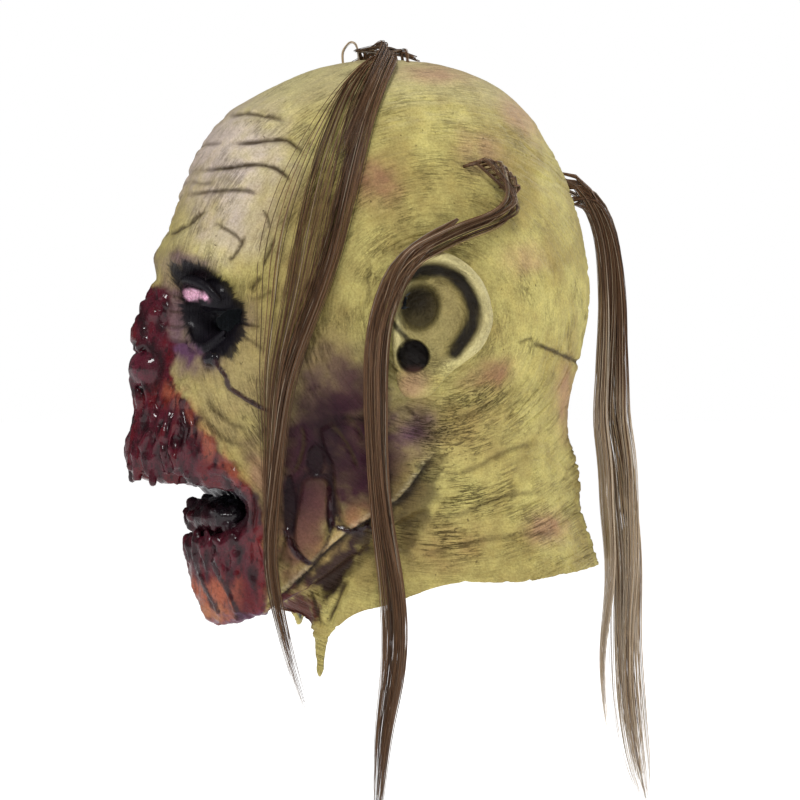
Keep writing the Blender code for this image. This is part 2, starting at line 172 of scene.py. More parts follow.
def value_noise(points, size, seed=0):
    """Smooth noise from -1 to 1. Size is the spacing in metres, one number or three."""
    place = (np.asarray(points) / np.asarray(size) + seed * 7.37).astype(np.float32)
    cell = np.floor(place).astype(np.int32)
    part = place - cell
    part = part * part * (3 - 2 * part)
    near = cell % LATTICE_SIDE
    far = (cell + 1) % LATTICE_SIDE
    total = 0
    for x, wx in ((near[:, 0], 1 - part[:, 0]), (far[:, 0], part[:, 0])):
        for y, wy in ((near[:, 1], 1 - part[:, 1]), (far[:, 1], part[:, 1])):
            for z, wz in ((near[:, 2], 1 - part[:, 2]), (far[:, 2], part[:, 2])):
                total = total + LATTICE[x, y, z] * (wx * wy * wz)
    return total


def fractal(points, size, octaves=3, seed=0):
    size = np.asarray(size, float)
    total, weight, height = 0, 0, 1.0
    for octave in range(octaves):
        total = total + height * value_noise(points, size / 2**octave, seed + octave)
        weight += height
        height *= 0.5
    return total / weight


def linear(red, green, blue):
    """A colour as it looks on a screen, turned into the light it stands for."""
    values = np.array((red, green, blue), float) / 255
    return np.where(values <= 0.04045, values / 12.92, ((values + 0.055) / 1.055) ** 2.4)


# ---- the head's surface, as in the solid


def section_columns():
    rows = [row[1:] for row in SECTIONS]
    first, last, before_last = rows[0], rows[-1], rows[-2]
    pole = (0.0,) * len(first)
    over_pole = first[:3] + tuple(-reach for reach in first[3:])
    past_rim = tuple(2 * a - b for a, b in zip(last, before_last))
    return np.array([over_pole, pole, *rows, past_rim])


COLUMNS = section_columns()
LAST_LEVEL = len(SECTIONS)


def oval(azimuth):
    return 1 / np.hypot(np.sin(azimuth) / HALF_WIDTH, np.cos(azimuth) / HALF_DEPTH)


def across_stations(values, angle_deg):
    """The reach at each angle, through the values at the stations (last axis)."""
    stations = np.array(STATIONS_DEG, float)
    slopes = np.zeros_like(values)
    slopes[:, 1:-1] = (values[:, 2:] - values[:, :-2]) / (stations[2:] - stations[:-2])
    angle = np.minimum(np.abs(angle_deg), 180.0)
    index = np.clip(np.searchsorted(stations, angle, "right") - 1, 0, len(stations) - 2)
    row = np.arange(len(values))
    span = stations[index + 1] - stations[index]
    share = (angle - stations[index]) / span
    cube, square = share**3, share**2
    return (
        (2 * cube - 3 * square + 1) * values[row, index]
        + (cube - 2 * square + share) * span * slopes[row, index]
        + (3 * square - 2 * cube) * values[row, index + 1]
        + (cube - square) * span * slopes[row, index + 1]
    )


def skin(level, azimuth):
    """Points of the outer skin for arrays of level and azimuth."""
    level = np.asarray(level, float).ravel()
    azimuth = np.asarray(azimuth, float).ravel()
    level, azimuth = np.broadcast_arrays(level, azimuth)
    azimuth = np.remainder(azimuth + math.pi, 2 * math.pi) - math.pi
    index = np.minimum(level.astype(int), LAST_LEVEL - 1)
    share = (level - index)[:, None]
    around = hermite(*(COLUMNS[index + i] for i in range(4)), share)
    front, side, back = around[:, 0], around[:, 1], around[:, 2]
    turn = np.cos(azimuth)
    angle = np.degrees(azimuth)
    drop = side + (front - back) / 2 * turn + ((front + back) / 2 - side) * turn**2
    near_rim = np.maximum(0.0, level - (LAST_LEVEL - 1)) ** 2
    for sign, centre, spread, depth in RIM_TEARS:
        drop = drop + near_rim * depth * np.exp(-(((angle - sign * centre) / spread) ** 2))
    reach = across_stations(around[:, 3:], angle) * oval(azimuth)
    fade = np.minimum(1.0, 3 * np.maximum(0.0, turn))
    across = np.abs(reach * np.sin(azimuth) / HALF_WIDTH)
    rise = 0
    for _, centre, height, half_width, half_height, edge, amount in RELIEF:
        square = ((across - centre) / half_width) ** 2 + ((drop - height) / half_height) ** 2
        rise = rise + amount * np.exp(-(square**edge))
    reach = reach + rise * fade * HALF_DEPTH
    return np.stack((reach * np.sin(azimuth), -reach * turn, WALL - drop * CHIN_DROP), 1)


def reach_at(azimuth, drop):
    """The skin's reach at one angle and drop, and no less than the jaw edge's below it."""
    jaw_level = 1 + [row[0] for row in SECTIONS].index("jaw_edge")
    levels = np.arange(0.5, LAST_LEVEL + 0.01, 0.125)
    points = skin(levels, azimuth)
    radii = np.hypot(points[:, 0], points[:, 1])
    jaw_reach = radii[np.argmin(np.abs(levels - jaw_level))]
    target = WALL - drop * CHIN_DROP
    below = np.nonzero(points[:, 2] <= target)[0]
    if not len(below):
        return max(radii[-1], jaw_reach)
    i = max(below[0], 1)
    gap = max(points[i - 1, 2] - points[i, 2], 1e-6)
    share = min(max((points[i - 1, 2] - target) / gap, 0.0), 1.0)
    reach = radii[i - 1] + (radii[i] - radii[i - 1]) * share
    return reach if levels[i] <= jaw_level else max(reach, jaw_reach)


def skin_normal(azimuth, drop):
    radial = np.array((math.sin(azimuth), -math.cos(azimuth), 0.0))
    higher, lower = max(drop - 0.02, 0.0015), drop + 0.02
    rise = reach_at(azimuth, lower) - reach_at(azimuth, higher)
    slope = max(rise, 0.0) / ((lower - higher) * CHIN_DROP)
    normal = radial + (0.0, 0.0, slope)
    return normal / np.linalg.norm(normal)


def on_skin(angle_deg, drop, lift=0.0):
    """A point that far off the skin, and the outward direction there."""
    azimuth = math.radians(angle_deg)
    reach = reach_at(azimuth, max(drop, 0.0))
    normal = skin_normal(azimuth, max(drop, 0.0))
    point = (reach * math.sin(azimuth), -reach * math.cos(azimuth), WALL - drop * CHIN_DROP)
    return np.array(point) + normal * lift, normal


def photo_pixels(points):
    """Where points show in the photo."""
    offset = points - AIM
    scale = CAMERA_DISTANCE / (CAMERA_DISTANCE - offset @ TOWARDS)
    across = PHOTO_MIDDLE + offset @ RIGHTWARDS / PIXEL * scale
    down = PHOTO_MIDDLE - offset[:, 2] / PIXEL * scale
    return np.stack((across, down), 1)


# ---- meshes


def mesh_from_arrays(name, points, faces):
    """A mesh from an array of points and a list of arrays of faces."""
    data = bpy.data.meshes.new(name)
    points = np.asarray(points, np.float32)
    loops = np.concatenate([np.asarray(f, np.int32).ravel() for f in faces])
    sizes = np.concatenate([np.full(len(f), f.shape[1], np.int32) for f in faces])
    starts = np.concatenate(([0], np.cumsum(sizes)[:-1])).astype(np.int32)
    data.vertices.add(len(points))
    data.vertices.foreach_set("co", points.ravel())
    data.loops.add(len(loops))
    data.loops.foreach_set("vertex_index", loops)
    data.polygons.add(len(sizes))
    data.polygons.foreach_set("loop_start", starts)
    data.update(calc_edges=True)
    return data


def add_object(name, data, material=None):
    thing = bpy.data.objects.new(name, data)
    bpy.context.scene.collection.objects.link(thing)
    if material is not None:
        data.materials.append(material)
    return thing


def closed_rows(points_of_level, levels, azimuths, cap_shift=0.0):
    """A closed skin of quads and two fans from the loft."""
    count = len(azimuths)
    rows = [points_of_level(level, azimuths) for level in levels]
    points = np.vstack(rows + [[(0, 0, WALL)], [rows[-1].mean(0) + (0, 0, cap_shift)]])
    i = np.arange(count)
    j = (i + 1) % count
    quads = []
    for row in range(len(rows) - 1):
        a, b = row * count, (row + 1) * count
        quads.append(np.stack((a + i, a + j, b + j, b + i), 1))
    top, bottom = len(points) - 2, len(points) - 1
    last = (len(rows) - 1) * count
    fans = np.vstack(
        (np.stack((np.full(count, top), j, i), 1),
         np.stack((np.full(count, bottom), last + i, last + j), 1))
    )
    return points, np.vstack(quads), fans


# ---- the volume that the skin is carved in: negative inside


START = np.floor(BOX_LOW / VOXEL).astype(int)
COUNT = np.ceil((BOX_HIGH - BOX_LOW) / VOXEL).astype(int)
AXES = [(START[i] + np.arange(COUNT[i])).astype(np.float32) * VOXEL for i in range(3)]


def volume_of(points, quads, triangles):
    grid = openvdb.FloatGrid.createLevelSetFromPolygons(
        points.astype(np.float32),
        triangles=triangles.astype(np.uint32),
        quads=quads.astype(np.uint32),
        transform=openvdb.createLinearTransform(voxelSize=VOXEL),
        halfWidth=float(BAND_VOXELS),
    )
    values = np.zeros(COUNT, np.float32)
    grid.copyToArray(values, ijk=tuple(int(i) for i in START))
    return values


def region(low, high):
    """The part of the volume between two corners, and its coordinates."""
    first = np.clip(np.floor(np.array(low) / VOXEL).astype(int) - START, 0, COUNT)
    last = np.clip(np.ceil(np.array(high) / VOXEL).astype(int) - START + 1, 0, COUNT)
    where = tuple(slice(a, b) for a, b in zip(first, last))
    x, y, z = (AXES[i][where[i]] for i in range(3))
    return where, x[:, None, None], y[None, :, None], z[None, None, :]


def smooth_min(a, b, soft):
    share = np.clip(0.5 + 0.5 * (b - a) / soft, 0, 1)
    return b + (a - b) * share - soft * share * (1 - share)


def smooth_max(a, b, soft):
    return -smooth_min(-a, -b, soft)


def join(values, where, shape, soft, cut):
    if cut:
        values[where] = smooth_max(values[where], -shape, soft)
    else:
        values[where] = smooth_min(values[where], shape, soft)


def tube(values, points, radii, soft=0.001, cut=False, sides=(1,)):
    """A tube along a smooth line of points, added to the volume or cut from it."""
    radii = np.broadcast_to(np.array(radii, float), (len(points),))
    line = smooth_line(np.column_stack((points, radii)), 3)
    for side in sides:
        path = line * (side, 1, 1, 1)
        margin = path[:, 3].max() + soft + 3 * VOXEL
        where, x, y, z = region(path[:, :3].min(0) - margin, path[:, :3].max(0) + margin)
        best = None
        for a, b in zip(path, path[1:]):
            along = b[:3] - a[:3]
            square = max(float(along @ along), 1e-12)
            share = (x - a[0]) * along[0] + (y - a[1]) * along[1] + (z - a[2]) * along[2]
            share = np.clip(share / square, 0, 1)
            gap = (x - a[0] - share * along[0]) ** 2
            gap = gap + (y - a[1] - share * along[1]) ** 2 + (z - a[2] - share * along[2]) ** 2
            gap = np.sqrt(gap) - (a[3] + (b[3] - a[3]) * share)
            best = gap if best is None else np.minimum(best, gap)
        join(values, where, best, soft, cut)


def blob(values, centre, radii, soft=0.001, cut=False, sides=(1,)):
    """An upright ellipsoid, added to the volume or cut from it."""
    radii = np.array(radii, float)
    for side in sides:
        middle = np.array(centre) * (side, 1, 1)
        margin = radii + soft + 3 * VOXEL
        where, x, y, z = region(middle - margin, middle + margin)
        parts = [(x - middle[0]), (y - middle[1]), (z - middle[2])]
        outer = np.sqrt(sum((p / r) ** 2 for p, r in zip(parts, radii)))
        inner = np.sqrt(sum((p / r**2) ** 2 for p, r in zip(parts, radii)))
        shape = outer * (outer - 1) / np.maximum(inner, 1e-6)
        join(values, where, shape, soft, cut)


def sample(values, points):
    index = np.round(points / VOXEL).astype(int) - START
    index = np.clip(index, 0, COUNT - 1)
    return values[index[:, 0], index[:, 1], index[:, 2]]


# ---- ears. Their outline and features are where they show in the photo.

EAR_OUTLINE = (
    (397, 288), (408, 263), (427, 251), (447, 253), (466, 263), (483, 282), (492, 307),
    (492, 326), (481, 349), (462, 364), (447, 376), (435, 391), (424, 398), (406, 397),
    (397, 384), (394, 361), (391, 338), (391, 315),
)
EAR_GROOVE = (
    (408, 275), (431, 270), (453, 276), (468, 293), (474, 311), (471, 326), (462, 341),
    (455, 353),
)
EAR_PIT = (419, 307)
EAR_HOLE = (413, 356)
EAR_PLATE = (447, 312)
EAR_LOBE = (414, 384)
EAR_LINE = ((392, 321), (399, 330), (407, 339))
EAR_PIXELS_PER_MM = 2.0


def ear_frame():
    flare, lean = math.radians(EAR_FLARE_DEG), math.radians(EAR_LEAN_DEG)
    outwards = Vector((math.cos(flare), -math.sin(flare), 0))
    upwards = Matrix.Rotation(-lean, 3, outwards) @ Vector((0, 0, 1))
    backwards = upwards.cross(outwards)
    azimuth = math.radians(EAR_AZIMUTH_DEG)
    reach = reach_at(azimuth, EAR_DROP / CHIN_DROP) + EAR_STAND_OFF
    centre = (reach * math.sin(azimuth), -reach * math.cos(azimuth), WALL - EAR_DROP)
    return np.array(centre), np.array(outwards), np.array(backwards), np.array(upwards)


EAR_CENTRE, EAR_OUT, EAR_BACK, EAR_UP = ear_frame()
EAR_CENTRE_PIXEL = photo_pixels(EAR_CENTRE[None])[0]


def ear_place(pixels):
    """Backward and upward millimetres on the ear's plate, from photo pixels."""
    pixels = np.atleast_2d(np.array(pixels, float)) - EAR_CENTRE_PIXEL
    right, up = pixels[:, 0] / EAR_PIXELS_PER_MM, -pixels[:, 1] / EAR_PIXELS_PER_MM
    lean = math.radians(EAR_LEAN_DEG)
    back = right * math.cos(lean) - up * math.sin(lean)
    return np.stack((back, right * math.sin(lean) + up * math.cos(lean)), 1)


def flat_line_distance(a, b, line):
    best = None
    for start, end in zip(line, line[1:]):
        along = end - start
        share = ((a - start[0]) * along[0] + (b - start[1]) * along[1]) / (along @ along)
        share = np.clip(share, 0, 1)
        gap = np.hypot(a - start[0] - share * along[0], b - start[1] - share * along[1])
        best = gap if best is None else np.minimum(best, gap)
    return best


def flat_inside(a, b, line):
    """True where a point is inside a closed outline."""
    inside = np.zeros(np.broadcast(a, b).shape, bool)
    for start, end in zip(line, np.roll(line, -1, 0)):
        crosses = (start[1] > b) != (end[1] > b)
        rise = end[1] - start[1]
        slope = (end[0] - start[0]) / (rise if abs(rise) > 1e-9 else 1e-9)
        inside ^= crosses & (a < (b - start[1]) * slope + start[0])
    return inside


def closed_smooth(pixels, steps=3):
    points = np.array(pixels, float)
    padded = np.vstack((points[-1:], points, points[:2]))
    rows = []
    for i in range(len(points)):
        for step in range(steps):
            rows.append(hermite(*padded[i : i + 4], step / steps))
    return np.array(rows)


def dip(a, b, centre, radius, edge):
    """1 inside a round dip, falling to 0 outside its edge."""
    return 1 - step_up(np.hypot(a - centre[0], b - centre[1]), radius - edge, radius + edge)


def ear_shape(x, y, z, side):
    """The ear as a distance in metres: a plate with a rolled rim, groove, pit and hole."""
    px, py, pz = side * x - EAR_CENTRE[0], y - EAR_CENTRE[1], z - EAR_CENTRE[2]
    back, up, out = (
        (px * axis[0] + py * axis[1] + pz * axis[2]) * 1000
        for axis in (EAR_BACK, EAR_UP, EAR_OUT)
    )
    outline = ear_place(closed_smooth(EAR_OUTLINE))
    edge = flat_line_distance(back, up, np.vstack((outline, outline[:1])))
    edge = np.where(flat_inside(back, up, outline), -edge, edge)
    low = step_up(-up, 12, 30)
    height = 1.0 + 4.2 * np.exp(-(((-edge - 3.4) / 3.0) ** 2)) * (1 - 0.75 * low)
    groove = flat_line_distance(back, up, smooth_line(ear_place(EAR_GROOVE)))
    height = height - 6.2 * np.exp(-((groove / 3.9) ** 2))
    plate = ear_place(EAR_PLATE)[0]
    height = height + 2.0 * np.exp(-(((back - plate[0]) / 9) ** 2 + ((up - plate[1]) / 17) ** 2))
    line = flat_line_distance(back, up, ear_place(EAR_LINE))
    height = height - 2.0 * np.exp(-((line / 1.2) ** 2))
    lobe = ear_place(EAR_LOBE)[0]
    height = height + 1.8 * np.exp(-(((back - lobe[0]) / 8) ** 2 + ((up - lobe[1]) / 8) ** 2))
    height = np.maximum(height, -2.4)
    pit = ear_place(EAR_PIT)[0]
    height = height - 7.5 * dip(back, pit[1] + (up - pit[1]) * 0.88, pit, 9.6, 2.4)
    height = height - 8.5 * dip(back, up, ear_place(EAR_HOLE)[0], 7.6, 1.2)
    under = np.maximum(edge, -4.0 - out)
    root = np.hypot((back + 8.0) / 13.0, (up + 2.0) / 27.0) - 1
    under = np.minimum(under, np.maximum(root * 13.0, -15.0 - out))
    shape = smooth_max(under, (out - height) * 0.8, 1.5) / 1000
    holes = np.maximum(
        np.hypot(back - ear_place(EAR_HOLE)[0, 0], up - ear_place(EAR_HOLE)[0, 1]) - 7.2,
        -6.6 - out,
    )
    pits = np.maximum(
        np.hypot(back - pit[0], (up - pit[1]) * 0.88) - 8.6,
        -5.6 - out,
    )
    return shape, np.minimum(holes, pits) / 1000


# ---- the sculpted form

BOTH = (1, -1)
EYE_BALL = ((0.0310, -0.0885, -0.1255), 0.0128)
UPPER_LID = (
    (0.0175, -0.1070, -0.1185), (0.0240, -0.1068, -0.1160), (0.0330, -0.1045, -0.1162),
    (0.0400, -0.0995, -0.1195), (0.0450, -0.0940, -0.1265),
)
LOWER_LID = (
    (0.0170, -0.1040, -0.1400), (0.0260, -0.1040, -0.1480), (0.0380, -0.0990, -0.1500),
    (0.0470, -0.0920, -0.1430),
)
NOSE_BALL = ((0.0, -0.1205, -0.1610), (0.0125, 0.0108, 0.0108))
MOUTH = ((0.0, -0.1000, -0.2335), (0.0520, 0.0300, 0.0152))
TONGUE = ((0.0, -0.0830, -0.2375), (0.0260, 0.0160, 0.0100))


def carve():
    """The outer form and the form that the hollow follows."""
    around = np.linspace(-math.pi, math.pi, 220, endpoint=False)
    around = around - 0.5 * np.sin(around)
    levels = np.concatenate((np.linspace(0.1, LAST_LEVEL, LAST_LEVEL * 9),))
    form = volume_of(*closed_rows(skin, levels, around))

    blob(form, (0, -0.1380, -0.1610), (0.0170, 0.0205, 0.0165), 0.002, True)
    blob(form, *MOUTH, 0.003, True)
    for x, z, radius in ((0.010, -0.2180, 0.0032), (-0.013, -0.2175, 0.0036), (0.024, -0.2190, 0.004)):
        tube(form, ((x, -0.140, z), (x, -0.090, z)), radius, 0.001, True)
    hollow = form.copy()

    # Eyes, with the lids over them.
    blob(form, EYE_BALL[0], (EYE_BALL[1],) * 3, 0.001, False, BOTH)
    tube(form, UPPER_LID, (0.0016, 0.0024, 0.0027, 0.0024, 0.0015), 0.0012, False, BOTH)
    tube(form, LOWER_LID, (0.0012, 0.0022, 0.0024, 0.0014), 0.002, False, BOTH)
    # The bare nose: a wet ball in its ring, and lumps along the bridge.
    blob(form, *NOSE_BALL, 0.0008)
    for i in range(26):
        x, z = RANDOM.normal(0, 0.006), RANDOM.uniform(-0.150, -0.118)
        depth = RANDOM.uniform(0.0015, 0.0032)
        reach = reach_at(math.atan2(x, 0.118), (WALL - z) / CHIN_DROP)
        blob(form, (x, -math.sqrt(reach**2 - x * x) + 0.001, z), (depth, depth, depth * 1.5), 0.0012)
    # Strings of flesh that hang from the nose over the upper lip.
    for angle in np.arange(-17, 18, 2.6):
        top = RANDOM.uniform(0.57, 0.62)
        low = RANDOM.uniform(0.700, 0.738)
        thick = RANDOM.uniform(0.0015, 0.0027)
        drops = np.linspace(top, low, 6)
        path = [on_skin(angle + RANDOM.normal(0, 0.7), d, 0.0006)[0] for d in drops]
        tube(form, path, np.linspace(thick, thick * 0.6, 6), 0.0012)
    for angle, low, thick in ((-4.5, 0.757, 0.0021), (3.0, 0.762, 0.0024), (8.0, 0.747, 0.0018)):
        path = [on_skin(angle, d, 0.0002)[0] for d in (0.66, 0.70, 0.722)]
        path.append(path[-1] + (0, 0.001, -(low - 0.722) * CHIN_DROP))
        tube(form, path, (0.0015, thick, thick * 0.8, thick), 0.001)
    # The tongue and broken teeth in the mouth.
    blob(form, *TONGUE, 0.002)
    for i in range(46):
        turn, rise = RANDOM.uniform(-1.9, 1.9), RANDOM.uniform(-0.9, 1.0)
        centre = np.array(TONGUE[0]) + np.array(TONGUE[1]) * (
            math.sin(turn) * math.cos(rise), -math.cos(turn) * math.cos(rise), math.sin(rise))
        size = RANDOM.uniform(0.0013, 0.0030)
        blob(form, centre, (size, size, size * RANDOM.uniform(0.8, 1.6)), 0.0006)
    for angle in np.arange(-40, 41, 5.0):
        top = RANDOM.uniform(0.838, 0.852)
        low = top + RANDOM.uniform(0.045, 0.085)
        thick = RANDOM.uniform(0.0014, 0.0024)
        path = [on_skin(angle + RANDOM.normal(0, 0.5), d, 0.0004)[0] for d in np.linspace(top, low, 5)]
        tube(form, path, np.linspace(thick, thick * 0.45, 5), 0.0012)
    # The torn lip round the mouth.
    for side in BOTH:
        lip = []
        for pixel in ((212, 470), (226, 470), (238, 479), (248, 495), (253, 513), (251, 530),
                      (241, 541), (226, 545)):
            lip.append(seat(pixel, 0.0)[0] * (side, 1, 1))
        tube(form, lip, (0.0018, 0.0024, 0.0026, 0.0024, 0.0028, 0.0026, 0.0024, 0.002), 0.002)
    # Ears.
    for side in BOTH:
        corner = np.array((0.062, -0.034, -0.188))
        far = np.array((0.112, 0.042, -0.092))
        low, high = corner, far
        if side < 0:
            low, high = corner * (1, 1, 1), far * (1, 1, 1)
            low = np.array((-far[0], corner[1], corner[2]))
            high = np.array((-corner[0], far[1], far[2]))
        where, x, y, z = region(low, high)
        ear, holes = ear_shape(x, y, z, side)
        form[where] = smooth_min(form[where], ear, 0.003)
        form[where] = smooth_max(form[where], -holes, 0.0008)
    # What runs out of the eye, with its glossy clot, and the drip at the torn rim.
    for side in BOTH:
        drip = [seat(p, 0.0005)[0] for p in ((214, 361), (226, 377), (229, 387), (243, 397), (260, 407), (271, 411))]
        drip = [p * (side, 1, 1) for p in drip]
        tube(form, drip[: 6 if side > 0 else 4], 0.0011, 0.0008)
        blob(form, seat((211, 359), 0.0)[0] * (side, 1, 1), (0.0050, 0.0040, 0.0042), 0.001)
    rim_drip = skin(LAST_LEVEL, math.radians(39))[0]
    tip = [rim_drip + (0, 0, 0.006), rim_drip + (0, 0, 0.002), rim_drip + (-0.001, 0, -0.002)]
    tube(form, tip, (0.0012, 0.0020, 0.0006), 0.0012)
    return form, hollow


def plug():
    """What opens the neck: the hollow carried down through the rim."""
    around = np.linspace(-math.pi, math.pi, 180, endpoint=False)

    def shrunk(level, angles):
        points = skin(min(level, LAST_LEVEL), angles)
        reach = np.hypot(points[:, 0], points[:, 1])
        points = points * ((reach - SKIN_WALL) / reach)[:, None] ** (1, 1, 0)
        if level > LAST_LEVEL:
            points[:, 2] -= (level - LAST_LEVEL) * 0.03
        return points

    levels = (LAST_LEVEL - 0.35, LAST_LEVEL - 0.2, LAST_LEVEL - 0.1, LAST_LEVEL, LAST_LEVEL + 1)
    points, quads, fans = closed_rows(shrunk, levels, around)
    points[-2] = points[: len(around)].mean(0)
    return volume_of(points, quads, fans)


def base_tree():
    around = np.linspace(-math.pi, math.pi, 180, endpoint=False)
    levels = np.linspace(0.15, LAST_LEVEL, 150)
    points, quads, fans = closed_rows(skin, levels, around)
    faces = [tuple(f) for f in quads.tolist()] + [tuple(f) for f in fans.tolist()]
    return BVHTree.FromPolygons([Vector(p) for p in points.tolist()], faces)


TREE = base_tree()


def seat(pixel, lift=0.0):
    """The point of the skin under a photo pixel, that far off it, and its outward direction."""
    across, down = (pixel[0] - PHOTO_MIDDLE) * PIXEL, (PHOTO_MIDDLE - pixel[1]) * PIXEL
    target = AIM + RIGHTWARDS * across + (0, 0, down)
    origin = Vector(EYE_POINT)
    hit, normal, _, _ = TREE.ray_cast(origin, (Vector(target) - origin).normalized())
    if hit is None:
        hit, normal, _, _ = TREE.find_nearest(Vector(target))
    normal = np.array(normal)
    if normal @ TOWARDS < 0:
        normal = -normal
    return np.array(hit) + normal * lift, normal


# ---- wrinkles, wounds and paint, where they show in the photo.
# A side of 1 is the wearer's left, -1 the right, 0 both.

WRINKLES = (
    # name, side, half width in pixels, depth in metres, line
    ("forehead_1", 0, 2.6, 0.0011, ((228, 117), (245, 114), (262, 116), (287, 121))),
    ("forehead_2", 0, 2.4, 0.0007, ((200, 144), (213, 144), (222, 142))),
    ("forehead_3", 0, 2.8, 0.0015, ((226, 144), (249, 143), (265, 141), (282, 140), (294, 145), (308, 159))),
    ("forehead_4", 0, 2.8, 0.0015, ((186, 171), (219, 169), (242, 166), (259, 165), (275, 168), (286, 176), (292, 183))),
    ("forehead_5", 0, 2.6, 0.0011, ((182, 195), (211, 192), (230, 190), (248, 191), (258, 195))),
    ("forehead_6", 0, 2.2, 0.0006, ((190, 181), (203, 184), (214, 183))),
    ("frown", 0, 2.6, 0.0013, ((170, 236), (176, 232), (190, 224), (199, 216), (207, 210))),
    ("brow_fold", 0, 2.4, 0.0010, ((212, 224), (224, 228), (236, 236), (246, 248))),
    ("temple_1", 0, 2.2, 0.0010, ((264, 210), (268, 219), (269, 229))),
    ("temple_2", 0, 2.4, 0.0012, ((246, 234), (241, 246), (235, 255), (228, 261))),
    ("temple_3", 0, 2.4, 0.0012, ((276, 236), (271, 248), (266, 259), (263, 267))),
    ("temple_4", 0, 2.4, 0.0011, ((262, 276), (256, 284), (249, 292))),
    ("eye_tail", 0, 2.2, 0.0010, ((235, 320), (248, 325), (262, 326))),
    ("eye_tail_2", 0, 2.2, 0.0007, ((240, 336), (254, 343), (266, 352))),
    ("crow_1", 0, 2.0, 0.0006, ((250, 300), (262, 297), (274, 290))),
    ("nose_side_1", 0, 1.8, 0.0007, ((192, 300), (176, 297), (160, 291))),
    ("nose_side_2", 0, 1.8, 0.0007, ((190, 312), (172, 312), (158, 306))),
    ("nose_side_3", 0, 1.8, 0.0007, ((192, 326), (174, 327), (160, 321))),
    ("nose_side_4", 0, 1.8, 0.0007, ((196, 340), (180, 342), (166, 338))),
    ("cheek_1", 0, 3.0, 0.0008, ((206, 396), (216, 412), (232, 424), (248, 430))),
    ("cheek_2", 0, 3.0, 0.0007, ((196, 404), (208, 424), (226, 440), (244, 446))),
    ("cheek_3", 0, 2.4, 0.0007, ((262, 420), (268, 440), (268, 462), (262, 486))),
    ("ear_front_1", 0, 2.2, 0.0007, ((372, 262), (368, 282), (372, 304))),
    ("ear_front_2", 0, 2.2, 0.0007, ((382, 352), (372, 372), (374, 396))),
    ("nape", 0, 2.6, 0.0012, ((530, 342), (546, 348), (562, 355), (578, 362), (590, 364))),
    ("nape_2", 0, 2.4, 0.0008, ((518, 344), (526, 340), (534, 338))),
    ("neck_1", 0, 3.0, 0.0006, ((452, 420), (476, 412), (500, 398), (520, 384))),
    ("neck_2", 0, 3.4, 0.0007, ((440, 476), (470, 470), (506, 452), (540, 440))),
    ("neck_3", 0, 3.4, 0.0007, ((424, 520), (460, 514), (500, 498), (548, 490))),
    ("neck_4", 0, 3.4, 0.0006, ((420, 556), (462, 544), (510, 536), (566, 532))),
    ("flap_fold_1", 1, 2.6, 0.0016, ((310, 588), (316, 606), (322, 628))),
    ("flap_fold_2", 1, 2.6, 0.0016, ((348, 578), (338, 600), (328, 626))),
    ("bruise_1", 0, 2.4, 0.0010, ((330, 424), (342, 436), (352, 452), (358, 470))),
    ("bruise_2", 0, 2.4, 0.0009, ((346, 414), (356, 424), (364, 440))),
    ("jaw_fold_1", 0, 2.6, 0.0010, ((292, 476), (300, 460), (304, 440), (300, 424))),
    ("jaw_fold_2", 0, 2.4, 0.0009, ((276, 500), (284, 520), (284, 545), (278, 566))),
    ("lobe_1", 0, 2.2, 0.0008, ((404, 404), (414, 414), (428, 420))),
)
PLATES = (
    # name, side, height in metres, outline
    ("flap_1", 1, 0.0038, ((320, 428), (345, 420), (375, 428), (385, 465), (385, 500), (368, 522),
                            (354, 529), (344, 524), (338, 508), (334, 485), (331, 462))),
    ("flap_2", 1, 0.0032, ((303, 480), (315, 476), (327, 481), (328, 500), (329, 520), (324, 544),
                            (312, 561), (303, 555), (295, 540), (297, 515), (300, 495))),
    ("flap_right", -1, 0.0026, ((300, 470), (318, 462), (334, 470), (338, 500), (330, 530), (314, 548),
                                 (300, 536), (296, 505))),
)
PITS = (
    # name, side, depth in metres, centre, half sizes in pixels
    ("cheek_hole", 1, 0.0021, (315, 461), (10, 17)),
    ("flap_gap", 1, 0.0016, (290, 505), (7, 32)),
    ("gap_between", 1, 0.0014, (331, 512), (5, 22)),
    ("cheek_hole_right", -1, 0.0021, (322, 446), (12, 12)),
    ("gore_pit", 0, 0.0020, (176, 442), (7, 7)),
)
# Hollows under the jaw and chin, pushed in and given painted shade.
GAPS = (
    # name, side, colour, strength, outline
    ("neck_gap", 0, "deep", 0.95, ((306, 578), (318, 563), (334, 548), (350, 538), (357, 556), (350, 572),
                                   (339, 588), (326, 594), (312, 592))),
    ("neck_hollow", 0, "brown", 0.60, ((396, 506), (412, 490), (428, 466), (440, 458), (436, 482),
                                       (428, 512), (416, 540), (400, 552), (392, 530))),
    ("jaw_hollow", 0, "deep", 0.80, ((352, 536), (374, 520), (392, 510), (388, 530), (374, 544),
                                     (360, 552))),
    ("under_chin", 0, "gore", 0.92, ((268, 606), (282, 598), (300, 586), (312, 594), (318, 616),
                                     (310, 628), (292, 624), (276, 618))),
)
RAISED = (
    # name, side, half width in pixels, height in metres, line
    ("blood_1", 1, 2.4, 0.0012, ((329, 488), (330, 508), (332, 522), (344, 530), (358, 531), (368, 526))),
    ("blood_2", 1, 2.6, 0.0012, ((286, 530), (290, 544), (298, 555), (309, 563))),
    ("jaw_drip_1", 0, 2.2, 0.0009, ((194, 556), (199, 572), (206, 590), (218, 612))),
    ("jaw_drip_2", 0, 2.2, 0.0009, ((213, 562), (219, 577), (228, 592), (237, 611))),
    ("blood_3", 1, 2.2, 0.0010, ((372, 528), (377, 540), (379, 552))),
    ("blood_right", -1, 2.4, 0.0012, ((300, 540), (304, 560), (298, 578))),
)


